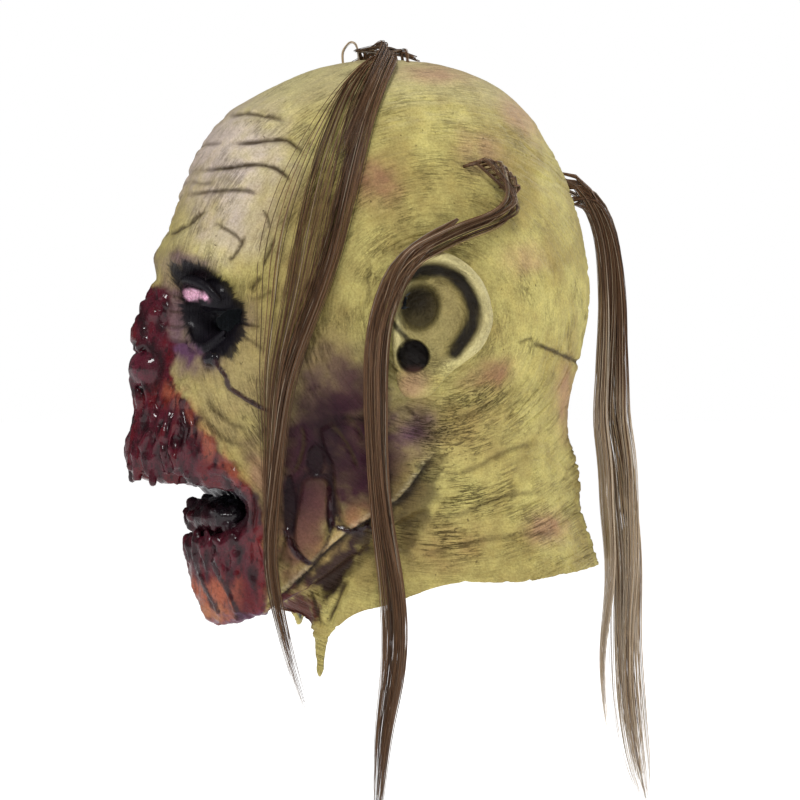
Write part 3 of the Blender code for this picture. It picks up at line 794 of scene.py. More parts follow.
def near_line(uv, line, reach):
    """The points within reach of a line in the photo, their distance, and the way along."""
    line = smooth_line(line)
    low, high = line.min(0) - reach, line.max(0) + reach
    near = np.nonzero((uv > low).all(1) & (uv < high).all(1))[0]
    best = np.full(len(near), 1e9)
    way = np.zeros(len(near))
    for i, (a, b) in enumerate(zip(line, line[1:])):
        along = b - a
        share = np.clip(((uv[near] - a) @ along) / (along @ along), 0, 1)
        gap = np.linalg.norm(uv[near] - a - share[:, None] * along, axis=1)
        closer = gap < best
        best[closer] = gap[closer]
        way[closer] = (i + share[closer]) / (len(line) - 1)
    return near, best, way


def signed_outline(uv, outline, reach):
    """The points near an outline in the photo, and their distance, negative inside."""
    line = closed_smooth(outline)
    low, high = line.min(0) - reach, line.max(0) + reach
    near = np.nonzero((uv > low).all(1) & (uv < high).all(1))[0]
    a, b = uv[near, 0], uv[near, 1]
    gap = flat_line_distance(a, b, np.vstack((line, line[:1])))
    return near, np.where(flat_inside(a, b, line), -gap, gap)


def on_side(points, near, side):
    """How much a mark for one side counts at each point."""
    if side == 0:
        return np.ones(len(near))
    return step_up(side * points[near, 0], 0.002, 0.012)


def face_pixels(points):
    """Photo pixels of points, the right side's taken from its mirror image and shifted a
    little, so that the two sides aren't the same."""
    mirrored = points * (1, 1, 1)
    mirrored[:, 0] = np.abs(mirrored[:, 0])
    uv = photo_pixels(mirrored)
    other = step_up(-points[:, 0], 0.004, 0.03)
    shift = np.stack((value_noise(points, 0.03, 3), value_noise(points, 0.03, 4)), 1)
    return uv + shift * other[:, None] * 9


def flow_of(uv):
    """Where a point lies in the swirl of fine wrinkles round the ear."""
    offset = uv - EAR_CENTRE_PIXEL
    angle = np.arctan2(offset[:, 1], offset[:, 0])
    away = np.hypot(offset[:, 0], offset[:, 1])
    return np.stack((2.2 * np.cos(angle), 2.2 * np.sin(angle), away / 6), 1)


JAWLINE = (
    (262, 606), (276, 598), (293, 584), (312, 566), (330, 547), (350, 531), (383, 509),
    (398, 499), (411, 485), (424, 466), (441, 448),
)


def jaw_side(uv, reach):
    """The points near the jaw's edge, and how far they are above it, negative below."""
    line = smooth_line(JAWLINE)
    near, gap, way = near_line(uv, JAWLINE, reach)
    index = np.clip((way * (len(line) - 1)).astype(int), 0, len(line) - 2)
    along = line[index + 1] - line[index]
    offset = uv[near] - line[index]
    below = along[:, 0] * offset[:, 1] - along[:, 1] * offset[:, 0] > 0
    return near, np.where(below, -gap, gap), way


GORE_OUTLINE = (
    (100, 283), (166, 288), (168, 330), (174, 352), (171, 384), (186, 400), (201, 425),
    (216, 445), (232, 464), (247, 484), (260, 512), (264, 545), (266, 600), (255, 640),
    (150, 660), (80, 640), (80, 300),
)


def gore_amount(points, uv):
    near, gap = signed_outline(uv, GORE_OUTLINE, 14)
    gap = gap + fractal(points[near], 0.006, 3, 8) * 7
    amount = np.zeros(len(uv))
    amount[near] = 1 - step_up(gap, -3, 3)
    return amount * step_up(-points[:, 1], 0.04, 0.055)


def displace(points, normals, inside):
    """How far each point of the skin moves along its normal."""
    uv = face_pixels(points)
    gore = gore_amount(points, uv)
    offset = 0.0005 * fractal(points, 0.022, 2, 1) + 0.00022 * fractal(points, 0.006, 2, 2)
    flow = flow_of(uv) + 0.5 * value_noise(points, 0.02, 16)[:, None]
    forehead = np.exp(-patch(uv, (225, 150), (75, 66), 0) ** 2)
    crown = 1 - 0.7 * step_up(points[:, 2], -0.07, -0.02)
    calm = (1 - gore) * (1 - forehead) * crown * step_up(value_noise(points, 0.025, 17), -0.5, 0.4)
    for scale, depth, seed in ((0.55, 0.0011, 5), (1.1, 0.0007, 25), (2.0, 0.0003, 27)):
        crease = np.abs(fractal(flow * scale, 1.0, 2, seed))
        offset -= depth * (1 - step_up(crease, 0.0, 0.13)) * calm
    near, gap, way = jaw_side(uv, 26)
    ends = step_up(way, 0, 0.12) * step_up(1 - way, 0, 0.12) * step_up(points[near, 1], -0.085, -0.07)
    above = 0.0024 * step_up(gap, -0.5, 0.7) * (1 - step_up(gap, 2, 22))
    below = -0.0014 * (1 - step_up(gap, -0.5, 0.7)) * (1 - step_up(-gap, 3, 24))
    offset[near] += (above + below) * ends
    ball = np.linalg.norm(points - NOSE_BALL[0], axis=1)
    gore = gore * (0.12 + 0.88 * step_up(ball, 0.0125, 0.019))
    strings = fractal(points, (0.0042, 0.0042, 0.016), 3, 6)
    lumps = fractal(points, 0.0045, 3, 9)
    offset += gore * (0.0017 * strings + 0.0012 * lumps)
    socket = np.exp(-patch(uv, SOCKET_CENTRE, SOCKET_HALF, 0) ** 2) * step_up(-points[:, 1], 0.055, 0.065)
    offset *= 1 - 0.85 * step_up(np.abs(points[:, 0]), 0.0885, 0.0925)
    offset *= (1 - 0.85 * socket) * step_up(points[:, 2], -0.310, -0.295)
    for _, side, half_width, depth, line in WRINKLES:
        near, gap, way = near_line(uv, line, half_width * 5)
        fade = on_side(points, near, side) * step_up(way, 0, 0.15) * step_up(1 - way, 0, 0.15)
        wobble = gap + value_noise(points[near], 0.005, 12) * 1.4
        groove = -np.exp(-((wobble / half_width) ** 2))
        shoulder = 0.45 * np.exp(-(((gap - 2.3 * half_width) / (1.5 * half_width)) ** 2))
        offset[near] += depth * (groove + shoulder) * fade
    for _, side, height, outline in PLATES:
        near, gap = signed_outline(uv, outline, 8)
        gap = gap + value_noise(points[near], 0.005, 13) * 1.2
        offset[near] += height * (1 - step_up(gap, -3.5, 0.6)) * on_side(points, near, side)
    for _, side, depth, centre, half in PITS:
        share = np.linalg.norm((uv - centre) / half, axis=1)
        near = np.nonzero(share < 2)[0]
        edge = share[near] + fractal(points[near], 0.005, 2, 14) * 0.25
        offset[near] -= depth * (1 - step_up(edge, 0.55, 1.05)) * on_side(points, near, side)
    for _, side, _, strength, outline in GAPS:
        near, gap = signed_outline(uv, outline, 8)
        gap = gap + fractal(points[near], 0.006, 2, 18) * 5
        offset[near] -= 0.0013 * strength * (1 - step_up(gap, -5, 2)) * on_side(points, near, side)
    for _, side, half_width, height, line in RAISED:
        near, gap, way = near_line(uv, line, half_width * 2)
        bead = np.sqrt(np.maximum(0, 1 - (gap / half_width) ** 2))
        swell = 0.75 + 0.5 * step_up(way, 0.7, 1)
        offset[near] += height * bead * swell * on_side(points, near, side)
    behind = step_up(points[:, 1], -0.01, 0.02)
    folds = np.abs(fractal(points, (0.03, 0.03, 0.010), 2, 15))
    low = step_up(-points[:, 2], 0.15, 0.2)
    offset -= 0.0008 * (1 - step_up(folds, 0, 0.10)) * behind * low
    offset = np.maximum(offset, -0.0017 + 0.0003 * np.exp(np.minimum(0, offset + 0.0017) * 2000))
    return np.where(inside, 0.0, offset)


def vertex_arrays(data):
    points = np.empty(len(data.vertices) * 3, np.float32)
    data.vertices.foreach_get("co", points)
    normals = np.empty(len(data.vertices) * 3, np.float32)
    data.vertex_normals.foreach_get("vector", normals)
    return points.reshape(-1, 3).astype(float), normals.reshape(-1, 3).astype(float)


def on_inside(hollow, points, normals):
    """True on the inner side of the wall, which looks into the hollow."""
    here = sample(hollow, points)
    ahead = sample(hollow, points + normals * 0.0015)
    return (here < -0.5 * SKIN_WALL) & (ahead < here)


def build_skin():
    form, hollow = carve()
    opening = plug()
    cavity = np.minimum(hollow + SKIN_WALL, opening)
    values = np.maximum(form, -cavity)
    for side in BOTH:
        half = np.array((EYE_HOLE_WIDTH / 2, 0, EYE_HOLE_HEIGHT / 2))
        centre = np.array((side * EYE_ACROSS, -HALF_DEPTH, WALL - EYE_HOLE_DROP))
        cut_bar(values, centre, half)
    half = np.array((BREATH_HOLE_WIDTH / 2, 0, BREATH_HOLE_HEIGHT / 2))
    cut_bar(values, np.array((0, -HALF_DEPTH, WALL - BREATH_HOLE_DROP)), half)

    grid = openvdb.FloatGrid(BAND_VOXELS * VOXEL)
    grid.copyFromArray(values, ijk=tuple(int(i) for i in START))
    grid.transform = openvdb.createLinearTransform(voxelSize=VOXEL)
    grid.gridClass = openvdb.GridClass.LEVEL_SET
    points, triangles, quads = grid.convertToPolygons(isovalue=0.0, adaptivity=0.0)
    faces = [f for f in (triangles, quads) if len(f)]
    data = mesh_from_arrays("dense", points, faces)
    keep_largest(data)
    points, normals = vertex_arrays(data)
    outwards = (normals * (points - (0, 0, -0.15))).sum(1)
    outer = sample(hollow, points) > -0.55 * SKIN_WALL
    if outwards[outer].sum() < 0:
        data.flip_normals()
        points, normals = vertex_arrays(data)
    inside = on_inside(hollow, points, normals)
    points += normals * displace(points, normals, inside)[:, None]
    data.vertices.foreach_set("co", points.astype(np.float32).ravel())
    data.update()

    dense = add_object("dense", data)
    data.calc_loop_triangles()
    modifier = dense.modifiers.new("fewer", "DECIMATE")
    modifier.ratio = SKIN_TRIANGLES / len(data.loop_triangles)
    bpy.context.view_layer.update()
    graph = bpy.context.evaluated_depsgraph_get()
    final = bpy.data.meshes.new_from_object(dense.evaluated_get(graph))
    bpy.data.objects.remove(dense, do_unlink=True)
    final.name = "zombie_skin"
    return final, hollow


def cut_bar(values, centre, half):
    """An upright oval bar along Y, cut through the front wall."""
    reach = np.array((half[0] + 0.004, HALF_DEPTH / 2, half[2] + 0.004))
    where, x, y, z = region(centre - reach, centre + reach)
    oval_share = np.sqrt(((x - centre[0]) / half[0]) ** 2 + ((z - centre[2]) / half[2]) ** 2)
    bar = np.maximum((oval_share - 1) * half[2], np.abs(y - centre[1]) - HALF_DEPTH / 2)
    values[where] = np.maximum(values[where], -bar)


def keep_largest(data):
    """Only the largest joined piece stays."""
    edges = np.empty(len(data.edges) * 2, np.int32)
    data.edges.foreach_get("vertices", edges)
    edges = edges.reshape(-1, 2)
    label = np.arange(len(data.vertices))
    while True:
        low = np.minimum(label[edges[:, 0]], label[edges[:, 1]])
        new = label.copy()
        np.minimum.at(new, edges[:, 0], low)
        np.minimum.at(new, edges[:, 1], low)
        new = new[new]
        new = new[new]
        if (new == label).all():
            break
        label = new
    names, counts = np.unique(label, return_counts=True)
    wrong = label != names[np.argmax(counts)]
    if wrong.any():
        import bmesh

        mesh = bmesh.new()
        mesh.from_mesh(data)
        mesh.verts.ensure_lookup_table()
        loose = [mesh.verts[i] for i in np.nonzero(wrong)[0].tolist()]
        bmesh.ops.delete(mesh, geom=loose, context="VERTS")
        mesh.to_mesh(data)
        mesh.free()


# ---- paint

OLIVE = linear(192, 181, 112)
OLIVE_MID = linear(162, 146, 88)
OLIVE_DARK = linear(128, 110, 66)
# Pale paint for painted highlights.
PALE_HIGHLIGHT = linear(214, 204, 172)
FACE_OLIVE = linear(150, 134, 98)
PINK = linear(176, 124, 112)
ROSE = linear(142, 76, 80)
# Pale lavender for painted highlights.
LAVENDER_HIGHLIGHT = linear(206, 190, 192)
BRUISE = linear(56, 22, 38)
BRUISE_DEEP = linear(28, 12, 18)
HAZE = linear(88, 54, 86)
FLAP_SKIN = linear(106, 72, 60)
BLACK = linear(17, 14, 20)
# Slate grey for a painted sheen on black paint.
SLATE_SHEEN = linear(52, 52, 62)
EYE_WHITE = linear(250, 196, 226)
MAROON = linear(76, 20, 34)
GORE_DARK = linear(28, 7, 13)
RED = linear(88, 13, 20)
ORANGE = linear(172, 96, 68)
TAN = linear(168, 116, 80)
LIP = linear(122, 44, 46)
INSIDE = linear(74, 80, 86)
TONGUE_DARK = linear(30, 22, 30)
CLOT = linear(44, 20, 26)
BALL = linear(92, 28, 46)
GRIME = linear(58, 44, 26)
# Painted shade under the jaw and chin.
NECK_SHADE = linear(44, 22, 28)
UNDER_CHIN_GORE_SHADE = linear(84, 24, 36)
NECK_RUST = linear(134, 98, 62)
# Painted highlight and painted shade for the ear.
EAR_RIM_HIGHLIGHT = linear(198, 188, 140)
EAR_PIT_SHADE = linear(60, 52, 34)
EAR_BOWL_SHADE = linear(136, 124, 82)

PATCHES = (
    # name, side, colour, centre, half sizes in pixels, tilt in degrees, strength
    ("scalp_rose", 0, ROSE, (376, 182), (26, 22), 20, 0.55),
    ("crown_pink", 0, PINK, (434, 74), (34, 9), 5, 0.55),
    ("back_pink", 0, PINK, (482, 152), (26, 18), 40, 0.45),
    ("back_edge_pink", 0, PINK, (520, 118), (12, 26), -40, 0.45),
    ("behind_ear_pink", 0, PINK, (528, 258), (22, 16), 0, 0.40),
    ("lobe_pink", 0, ROSE, (488, 374), (28, 14), -20, 0.55),
    ("nape_pink", 0, PINK, (566, 400), (10, 34), 0, 0.55),
    ("neck_pink", 0, PINK, (546, 528), (20, 16), 0, 0.60),
    ("neck_rust", 0, NECK_RUST, (446, 546), (44, 26), -10, 0.60),
    ("neck_brown", 0, NECK_RUST, (470, 428), (44, 30), -30, 0.40),
    # Painted highlights: pale lavender on the forehead and the brow.
    ("forehead_highlight", 0, LAVENDER_HIGHLIGHT, (232, 158), (56, 58), 0, 0.70),
    ("temple_highlight", 0, LAVENDER_HIGHLIGHT, (230, 236), (44, 26), 0, 0.40),
    ("temple_pink", 0, PINK, (300, 280), (18, 40), 10, 0.35),
    # Painted shadow of the hair lock over the temple.
    ("temple_brown", 0, OLIVE_DARK, (310, 240), (34, 60), 10, 0.45),
    ("jaw_low", 0, FLAP_SKIN, (290, 562), (26, 40), -30, 0.60),
    ("cheek_bruise_low", 0, BRUISE, (300, 470), (26, 60), 0, 0.75),
    ("lip_corner", 0, PINK, (262, 476), (12, 34), -20, 0.55),
    ("under_eye", 0, OLIVE_MID, (236, 380), (30, 30), 0, 0.35),
    ("cheek_shade", 0, OLIVE_DARK, (230, 425), (26, 20), 30, 0.50),
    ("face_olive", 0, FACE_OLIVE, (238, 384), (74, 66), 0, 0.60),
    # Painted shadow of the hair lock over the temple.
    ("temple_dark", 0, OLIVE_DARK, (304, 310), (54, 120), 5, 0.55),
    ("bruise_haze", 0, HAZE, (346, 404), (62, 54), 0, 0.55),
    ("cheek_bruise_high", 0, BRUISE, (352, 396), (34, 44), 0, 0.60),
    ("cheek_bruise", 0, BRUISE, (340, 446), (60, 74), -12, 0.96),
    ("cheek_bruise_2", 0, BRUISE, (364, 470), (44, 64), 0, 0.97),
    ("cheek_deep", 0, BRUISE_DEEP, (324, 440), (34, 50), -15, 0.85),
    ("cheek_deep_2", 0, BRUISE_DEEP, (300, 500), (18, 44), 0, 0.75),
    ("lobe_bruise", 0, HAZE, (416, 430), (24, 22), -20, 0.75),
    ("lobe_bruise_2", 0, BRUISE, (424, 432), (12, 16), -30, 0.60),
    ("flap_skin", 1, FLAP_SKIN, (313, 520), (15, 38), 8, 0.90),
    ("flap_low", 1, TAN, (360, 516), (20, 12), -30, 0.55),
    ("jaw_tan", 0, TAN, (330, 548), (34, 10), -42, 0.60),
    ("jaw_olive", 0, OLIVE_MID, (296, 580), (26, 12), -42, 0.35),
    ("jaw_brown", 0, FLAP_SKIN, (290, 545), (24, 48), -20, 0.85),
    ("cheek_dark", 0, BRUISE, (296, 462), (20, 40), 10, 0.60),
    ("jaw_bruise", 0, BRUISE, (372, 500), (16, 20), -30, 0.45),
    ("flap_purple", 0, BRUISE, (300, 500), (30, 26), 0, 0.60),
    # Painted shade under the jaw's overhang.
    ("neck_dark", 0, OLIVE_DARK, (406, 506), (20, 34), 15, 0.85),
    ("neck_dark_2", 0, OLIVE_DARK, (384, 560), (36, 24), -20, 0.50),
    ("socket_haze", 0, HAZE, (192, 352), (28, 20), 10, 0.95),
    ("socket_haze_2", 0, HAZE, (174, 312), (20, 44), 0, 0.80),
    ("socket_haze_3", 0, HAZE, (238, 320), (20, 24), 0, 0.45),
    ("brow_haze", 0, HAZE, (184, 262), (30, 12), 10, 0.70),
    ("cheek_line", 0, BRUISE, (254, 440), (10, 30), 20, 0.45),
)
SOCKET_CENTRE = (204, 311)
SOCKET_HALF = (38, 46)
SOCKET_OUTLINE = (
    (170, 270), (178, 264), (191, 264), (210, 272), (230, 289), (243, 316), (239, 342),
    (224, 358), (206, 354), (191, 337), (184, 312), (180, 290), (170, 275),
)
EYE_OUTLINE = ((183, 290), (191, 288), (201, 291), (210, 299), (204, 300), (195, 299), (187, 301))


def patch(uv, centre, half, tilt_deg):
    tilt = math.radians(tilt_deg)
    offset = uv - centre
    a = offset[:, 0] * math.cos(tilt) + offset[:, 1] * math.sin(tilt)
    b = -offset[:, 0] * math.sin(tilt) + offset[:, 1] * math.cos(tilt)
    return (a / half[0]) ** 2 + (b / half[1]) ** 2


def paint_skin(data, hollow):
    points, normals = vertex_arrays(data)
    uv = face_pixels(points)
    inside = on_inside(hollow, points, normals)
    count = len(points)
    colour = np.empty((count, 3))
    tone = fractal(points, 0.030, 3, 20)
    fine = fractal(points, 0.008, 3, 21)
    share = np.clip(0.5 + 1.1 * tone + 0.7 * fine, 0, 1)[:, None]
    colour[:] = OLIVE_MID * (1 - share) + OLIVE * share
    wet = np.full(count, 0.0)
    grime = np.clip(0.22 + 0.5 * fractal(points, 0.02, 3, 22), 0, 1)
    eye = np.zeros(count)
    edge = fractal(points, 0.007, 3, 23)

    def mix(target, amount):
        amount = np.clip(amount, 0, 1)[:, None]
        colour[:] = colour * (1 - amount) + target * amount

    # Painted highlight: surfaces of the scalp that face up are painted paler, as if lit from above.
    top = step_up(normals[:, 2], 0.3, 0.9) * step_up(points[:, 2], -0.07, -0.01)
    mix(PALE_HIGHLIGHT, 0.35 * top)
    for _, side, tint, centre, half, tilt, strength in PATCHES:
        square = patch(uv, centre, half, tilt) + edge * 0.8
        amount = strength * np.exp(-np.maximum(square, 0) ** 1.3)
        mix(tint, amount * on_side(points, np.arange(count), side))
        if tint is BRUISE or tint is BRUISE_DEEP:
            grime *= 1 - 0.8 * np.clip(amount, 0, 1)
    dirt = (
        ((404, 250), (40, 16), 0.8), ((452, 240), (34, 12), 0.9), ((474, 396), (40, 20), 0.9),
        ((450, 440), (50, 36), 1.0), ((420, 470), (30, 36), 0.8), ((330, 200), (40, 60), 0.5),
        ((440, 540), (60, 24), 0.9), ((470, 500), (60, 30), 0.8), ((540, 350), (30, 12), 0.5),
        ((256, 420), (14, 24), 1.0), ((210, 420), (20, 24), 0.6), ((300, 340), (30, 60), 0.5),
        ((372, 290), (18, 50), 0.6), ((560, 560), (40, 14), 0.4),
    )
    for centre, half, strength in dirt:
        grime = np.maximum(grime, strength * np.exp(-patch(uv, centre, half, 0)))

    # The ear: a painted highlight on the upper rim, painted shade in the bowl, groove, pit, hole and crease and on
    # the back of the ear, and a pink lobe.
    ear = points * (1, 1, 1)
    ear[:, 0] = np.abs(ear[:, 0])
    offset = (ear - EAR_CENTRE) * 1000
    back, up, out = offset @ EAR_BACK, offset @ EAR_UP, offset @ EAR_OUT
    outline = ear_place(closed_smooth(EAR_OUTLINE))
    rim_gap = flat_line_distance(back, up, np.vstack((outline, outline[:1])))
    in_ear = flat_inside(back, up, outline) & (out > -9) & (out < 12)
    faces_out = step_up(normals @ EAR_OUT * np.sign(points[:, 0]), -0.3, 0.2)
    turned = normals * (1, 1, 1)
    turned[:, 0] *= np.sign(points[:, 0])
    faces_out = step_up(turned @ EAR_OUT, -0.5, 0.0)
    ear_mask = in_ear * faces_out
    mix(EAR_RIM_HIGHLIGHT, 0.75 * ear_mask * (1 - step_up(rim_gap, 5, 9)) * step_up(up, -30, -10))
    mix(EAR_BOWL_SHADE, 0.75 * ear_mask * step_up(rim_gap, 4.5, 7))
    groove = flat_line_distance(back, up, smooth_line(ear_place(EAR_GROOVE)))
    mix(BLACK, 0.95 * ear_mask * (1 - step_up(groove + edge, 1.9, 5.0)))
    pit = ear_place(EAR_PIT)[0]
    hole = ear_place(EAR_HOLE)[0]
    mix(EAR_PIT_SHADE, 0.90 * ear_mask * dip(back + edge, pit[1] + (up - pit[1]) * 0.88 + edge, pit, 10.2, 2.6))
    mix(BLACK, 0.65 * ear_mask * dip(back, up, pit + (-2.0, 3.0), 6.5, 4.0))
    mix(BLACK, 0.98 * ear_mask * dip(back + edge, up + edge, hole, 8.4, 1.0))
    line = flat_line_distance(back, up, ear_place(EAR_LINE))
    mix(BLACK, 0.8 * ear_mask * (1 - step_up(line, 0.8, 1.8)))
    mix(PINK, 0.35 * ear_mask * dip(back, up, ear_place(EAR_LOBE)[0], 7, 4))
    behind = in_ear * (1 - faces_out)
    mix(OLIVE_DARK, 0.5 * behind)

    # The jaw's torn edge and the edges of the hanging flaps: a painted shadow below each edge, and a painted
    # highlight just above the jaw's edge.
    near, gap, way = jaw_side(uv, 22)
    ends = step_up(way, 0, 0.10) * step_up(1 - way, 0, 0.12) * step_up(points[near, 1], -0.085, -0.07)
    for target, amount in (
        (OLIVE_DARK, 0.7 * (1 - step_up(-gap + 10 * edge[near], 1, 14)) * (gap < 0.5)),
        (BLACK, 0.92 * (1 - step_up(-gap + 5 * edge[near], 1, 8)) * (gap < 0.5)),
        (PALE_HIGHLIGHT, 0.30 * np.exp(-(((gap - 2.5) / 2) ** 2)) * (gap > 0)),
    ):
        full = np.zeros(count)
        full[near] = amount * ends
        mix(target, full)
    # Painted shadow just outside each flap's edge, in deep bruise purple.
    for _, side, _, outline in PLATES:
        near, gap = signed_outline(uv, outline, 12)
        full = np.zeros(count)
        full[near] = 0.9 * np.exp(-(((gap - 2.2) / 2.6) ** 2)) * on_side(points, near, side)
        mix(BRUISE_DEEP, full)

    # Painted shade in the hollows under the jaw: dark red-brown, dark brown, and maroon gore under the chin.
    shades = {"deep": NECK_SHADE, "brown": GRIME, "gore": UNDER_CHIN_GORE_SHADE}
    streak = fractal(points, (0.003, 0.003, 0.012), 3, 26)
    for _, side, shade, strength, outline in GAPS:
        near, gap = signed_outline(uv, outline, 16)
        gap = gap + 12 * edge[near] + 10 * streak[near]
        full = np.zeros(count)
        full[near] = strength * (1 - step_up(gap, -6, 4)) * on_side(points, near, side)
        mix(shades[shade], full)
        wet = np.maximum(wet, 0.15 * full)

    # Wrinkles are painted dark, more so where they are deeper.
    for _, side, half_width, depth, line in WRINKLES:
        near, gap, way = near_line(uv, line, half_width * 2)
        fade = on_side(points, near, side) * step_up(way, 0, 0.2) * step_up(1 - way, 0, 0.2)
        amount = np.zeros(count)
        dark = 1 - step_up(gap + edge[near], half_width * 0.35, half_width * 1.05)
        amount[near] = dark * fade * min(1.0, depth / 0.0013)
        mix(GRIME, 0.9 * amount)
    # The pits and the gaps between the flaps are painted deep bruise purple, darkest in the middle: painted shade in
    # the recesses.
    for _, side, depth, centre, half in PITS:
        square = patch(uv, centre, half, 0) + edge * 0.5
        amount = 0.95 * (1 - step_up(square, 0.5, 1.3)) * on_side(points, np.arange(count), side)
        mix(BRUISE_DEEP if centre[1] < 600 else GORE_DARK, amount)
        wet = np.maximum(wet, 0.10 * amount)

    # Gore: dark at the nose, orange at its edge, red and tan down the jaw.
    gore = gore_amount(points, uv)
    flesh = fractal(points, (0.005, 0.005, 0.016), 3, 24)
    mix(MAROON, gore)
    mix(RED, gore * step_up(flesh, -0.05, 0.35) * 0.8)
    mix(GORE_DARK, gore * step_up(-flesh, 0.05, 0.4) * 0.85)
    near, gap = signed_outline(uv, GORE_OUTLINE, 24)
    band = np.zeros(count)
    band[near] = np.exp(-(((gap + 5 + 5 * edge[near]) / 8) ** 2))
    high = step_up(uv[:, 1], 375, 395) * (1 - step_up(uv[:, 1], 470, 490))
    mix(ORANGE, 0.55 * band * high * step_up(flesh, -0.35, 0.3))
    band_low = band * step_up(uv[:, 1], 470, 490)
    mix(LIP, 0.70 * band_low * step_up(flesh, -0.6, 0.1))
    jaw = gore * step_up(uv[:, 1], 545, 560)
    mix(RED, 0.35 * jaw * step_up(flesh, -0.2, 0.2))
    mix(ORANGE, 0.70 * jaw * step_up(flesh, -0.5, 0.1) * step_up(uv[:, 1] + 16 * flesh, 576, 594) * step_up(-uv[:, 0], -248, -228))
    mix(TAN, 0.6 * jaw * step_up(flesh, -0.4, 0.2) * step_up(uv[:, 1], 598, 612) * step_up(-uv[:, 0], -236, -216))
    # Painted reflection: gore that faces down is painted lavender, as if it mirrored the pale floor.
    under = step_up(-normals[:, 2], 0.45, 0.8) * step_up(-points[:, 2], 0.26, 0.28)
    mix(HAZE, 0.65 * gore * under)
    wet = np.maximum(wet, gore * (0.55 + 0.4 * step_up(lowest_first(uv), 0, 1)))
    ball = np.linalg.norm((points - NOSE_BALL[0]) * (1, 1, 1), axis=1)
    mix(BALL, 0.85 * gore * (1 - step_up(ball, 0.0115, 0.0130)) * step_up(flesh, -0.4, 0.1))
    # Painted shade in the crevice round the nose ball.
    mix(GORE_DARK, 0.9 * np.exp(-(((ball - 0.0142) / 0.0022) ** 2)))

    # In the mouth: black, with a painted sheen of slate grey on the roof, and a dark tongue.
    deep = np.exp(-((points[:, 0] / 0.046) ** 2 + ((points[:, 1] + 0.080) / 0.021) ** 2
                    + ((points[:, 2] + 0.2335) / 0.0165) ** 2) ** 3)
    mix(BLACK, deep)
    mix(SLATE_SHEEN, 0.9 * deep * step_up(points[:, 2], -0.232, -0.226))
    mix(TONGUE_DARK, 0.7 * deep * step_up(flesh, 0, 0.3))
    wet = np.maximum(wet, 0.9 * deep)

    # The socket: black with feathered edges, a painted sheen of slate grey on the black below the eye, and a pink
    # strip of eye.
    near, gap = signed_outline(uv, SOCKET_OUTLINE, 60)
    feather = np.full(count, 4.0)
    feather[near] = np.maximum(1 + gap / 20, 0)
    in_face = step_up(-points[:, 1], 0.055, 0.065)
    core = (1 - step_up(feather + 0.25 * edge, 0.75, 1.10)) * in_face
    mix(BLACK, core)
    slate_sheen = np.exp(-patch(uv, (203, 326), (19, 21), 0) ** 2) * in_face
    mix(SLATE_SHEEN, 0.85 * slate_sheen)
    near, gap = signed_outline(uv, EYE_OUTLINE, 6)
    eye[near] = 1 - step_up(gap, -0.8, 1.2)
    eye *= in_face
    mix(EYE_WHITE, eye)
    clot = np.exp(-patch(uv, (211, 359), (10, 9), 0) ** 3) * in_face
    mix(BLACK, clot)
    wet = np.maximum(wet, np.maximum(0.12 * core, np.maximum(clot, eye)))
    feather_amount = in_face * np.exp(-np.maximum(feather - 0.9, 0) * 2.0)

    # Blood and drips.
    drips = [(0, 2.4, ((214, 361), (226, 377), (229, 387), (243, 397), (260, 407), (271, 411)))]
    drips += [(side, half_width, line) for _, side, half_width, _, line in RAISED]
    for side, half_width, line in drips:
        near, gap, way = near_line(uv, line, half_width * 2)
        amount = np.zeros(count)
        amount[near] = (1 - step_up(gap, half_width * 0.8, half_width * 1.3)) * on_side(points, near, side)
        mix(CLOT, 0.95 * amount)
        wet = np.maximum(wet, amount)

    colour[inside] = INSIDE * (0.9 + 0.2 * fine[inside][:, None])
    for array in (wet, grime, eye, feather_amount):
        array[inside] = 0.0
    angle = np.arctan2(uv[:, 1] - SOCKET_CENTRE[1], (uv[:, 0] - SOCKET_CENTRE[0]) * 1.2)
    around = np.stack((np.cos(angle), np.sin(angle), feather * 0.35), 1)
    give(data, "paint", "FLOAT_COLOR", np.column_stack((colour, np.ones(count))))
    give(data, "wet", "FLOAT", wet)
    give(data, "grime", "FLOAT", grime)
    give(data, "eye", "FLOAT", eye)
    give(data, "feather", "FLOAT", feather_amount)
    give(data, "rays", "FLOAT_VECTOR", around)
    give(data, "flow", "FLOAT_VECTOR", flow_of(uv))


def lowest_first(uv):
    """1 in the nose and lips, less on the jaw."""
    return 1 - step_up(uv[:, 1], 540, 600)


def give(data, name, kind, values):
    attribute = data.attributes.new(name, kind, "POINT")
    key = {"FLOAT": "value", "FLOAT_VECTOR": "vector", "FLOAT_COLOR": "color"}[kind]
    attribute.data.foreach_set(key, np.asarray(values, np.float32).ravel())


# ---- materials


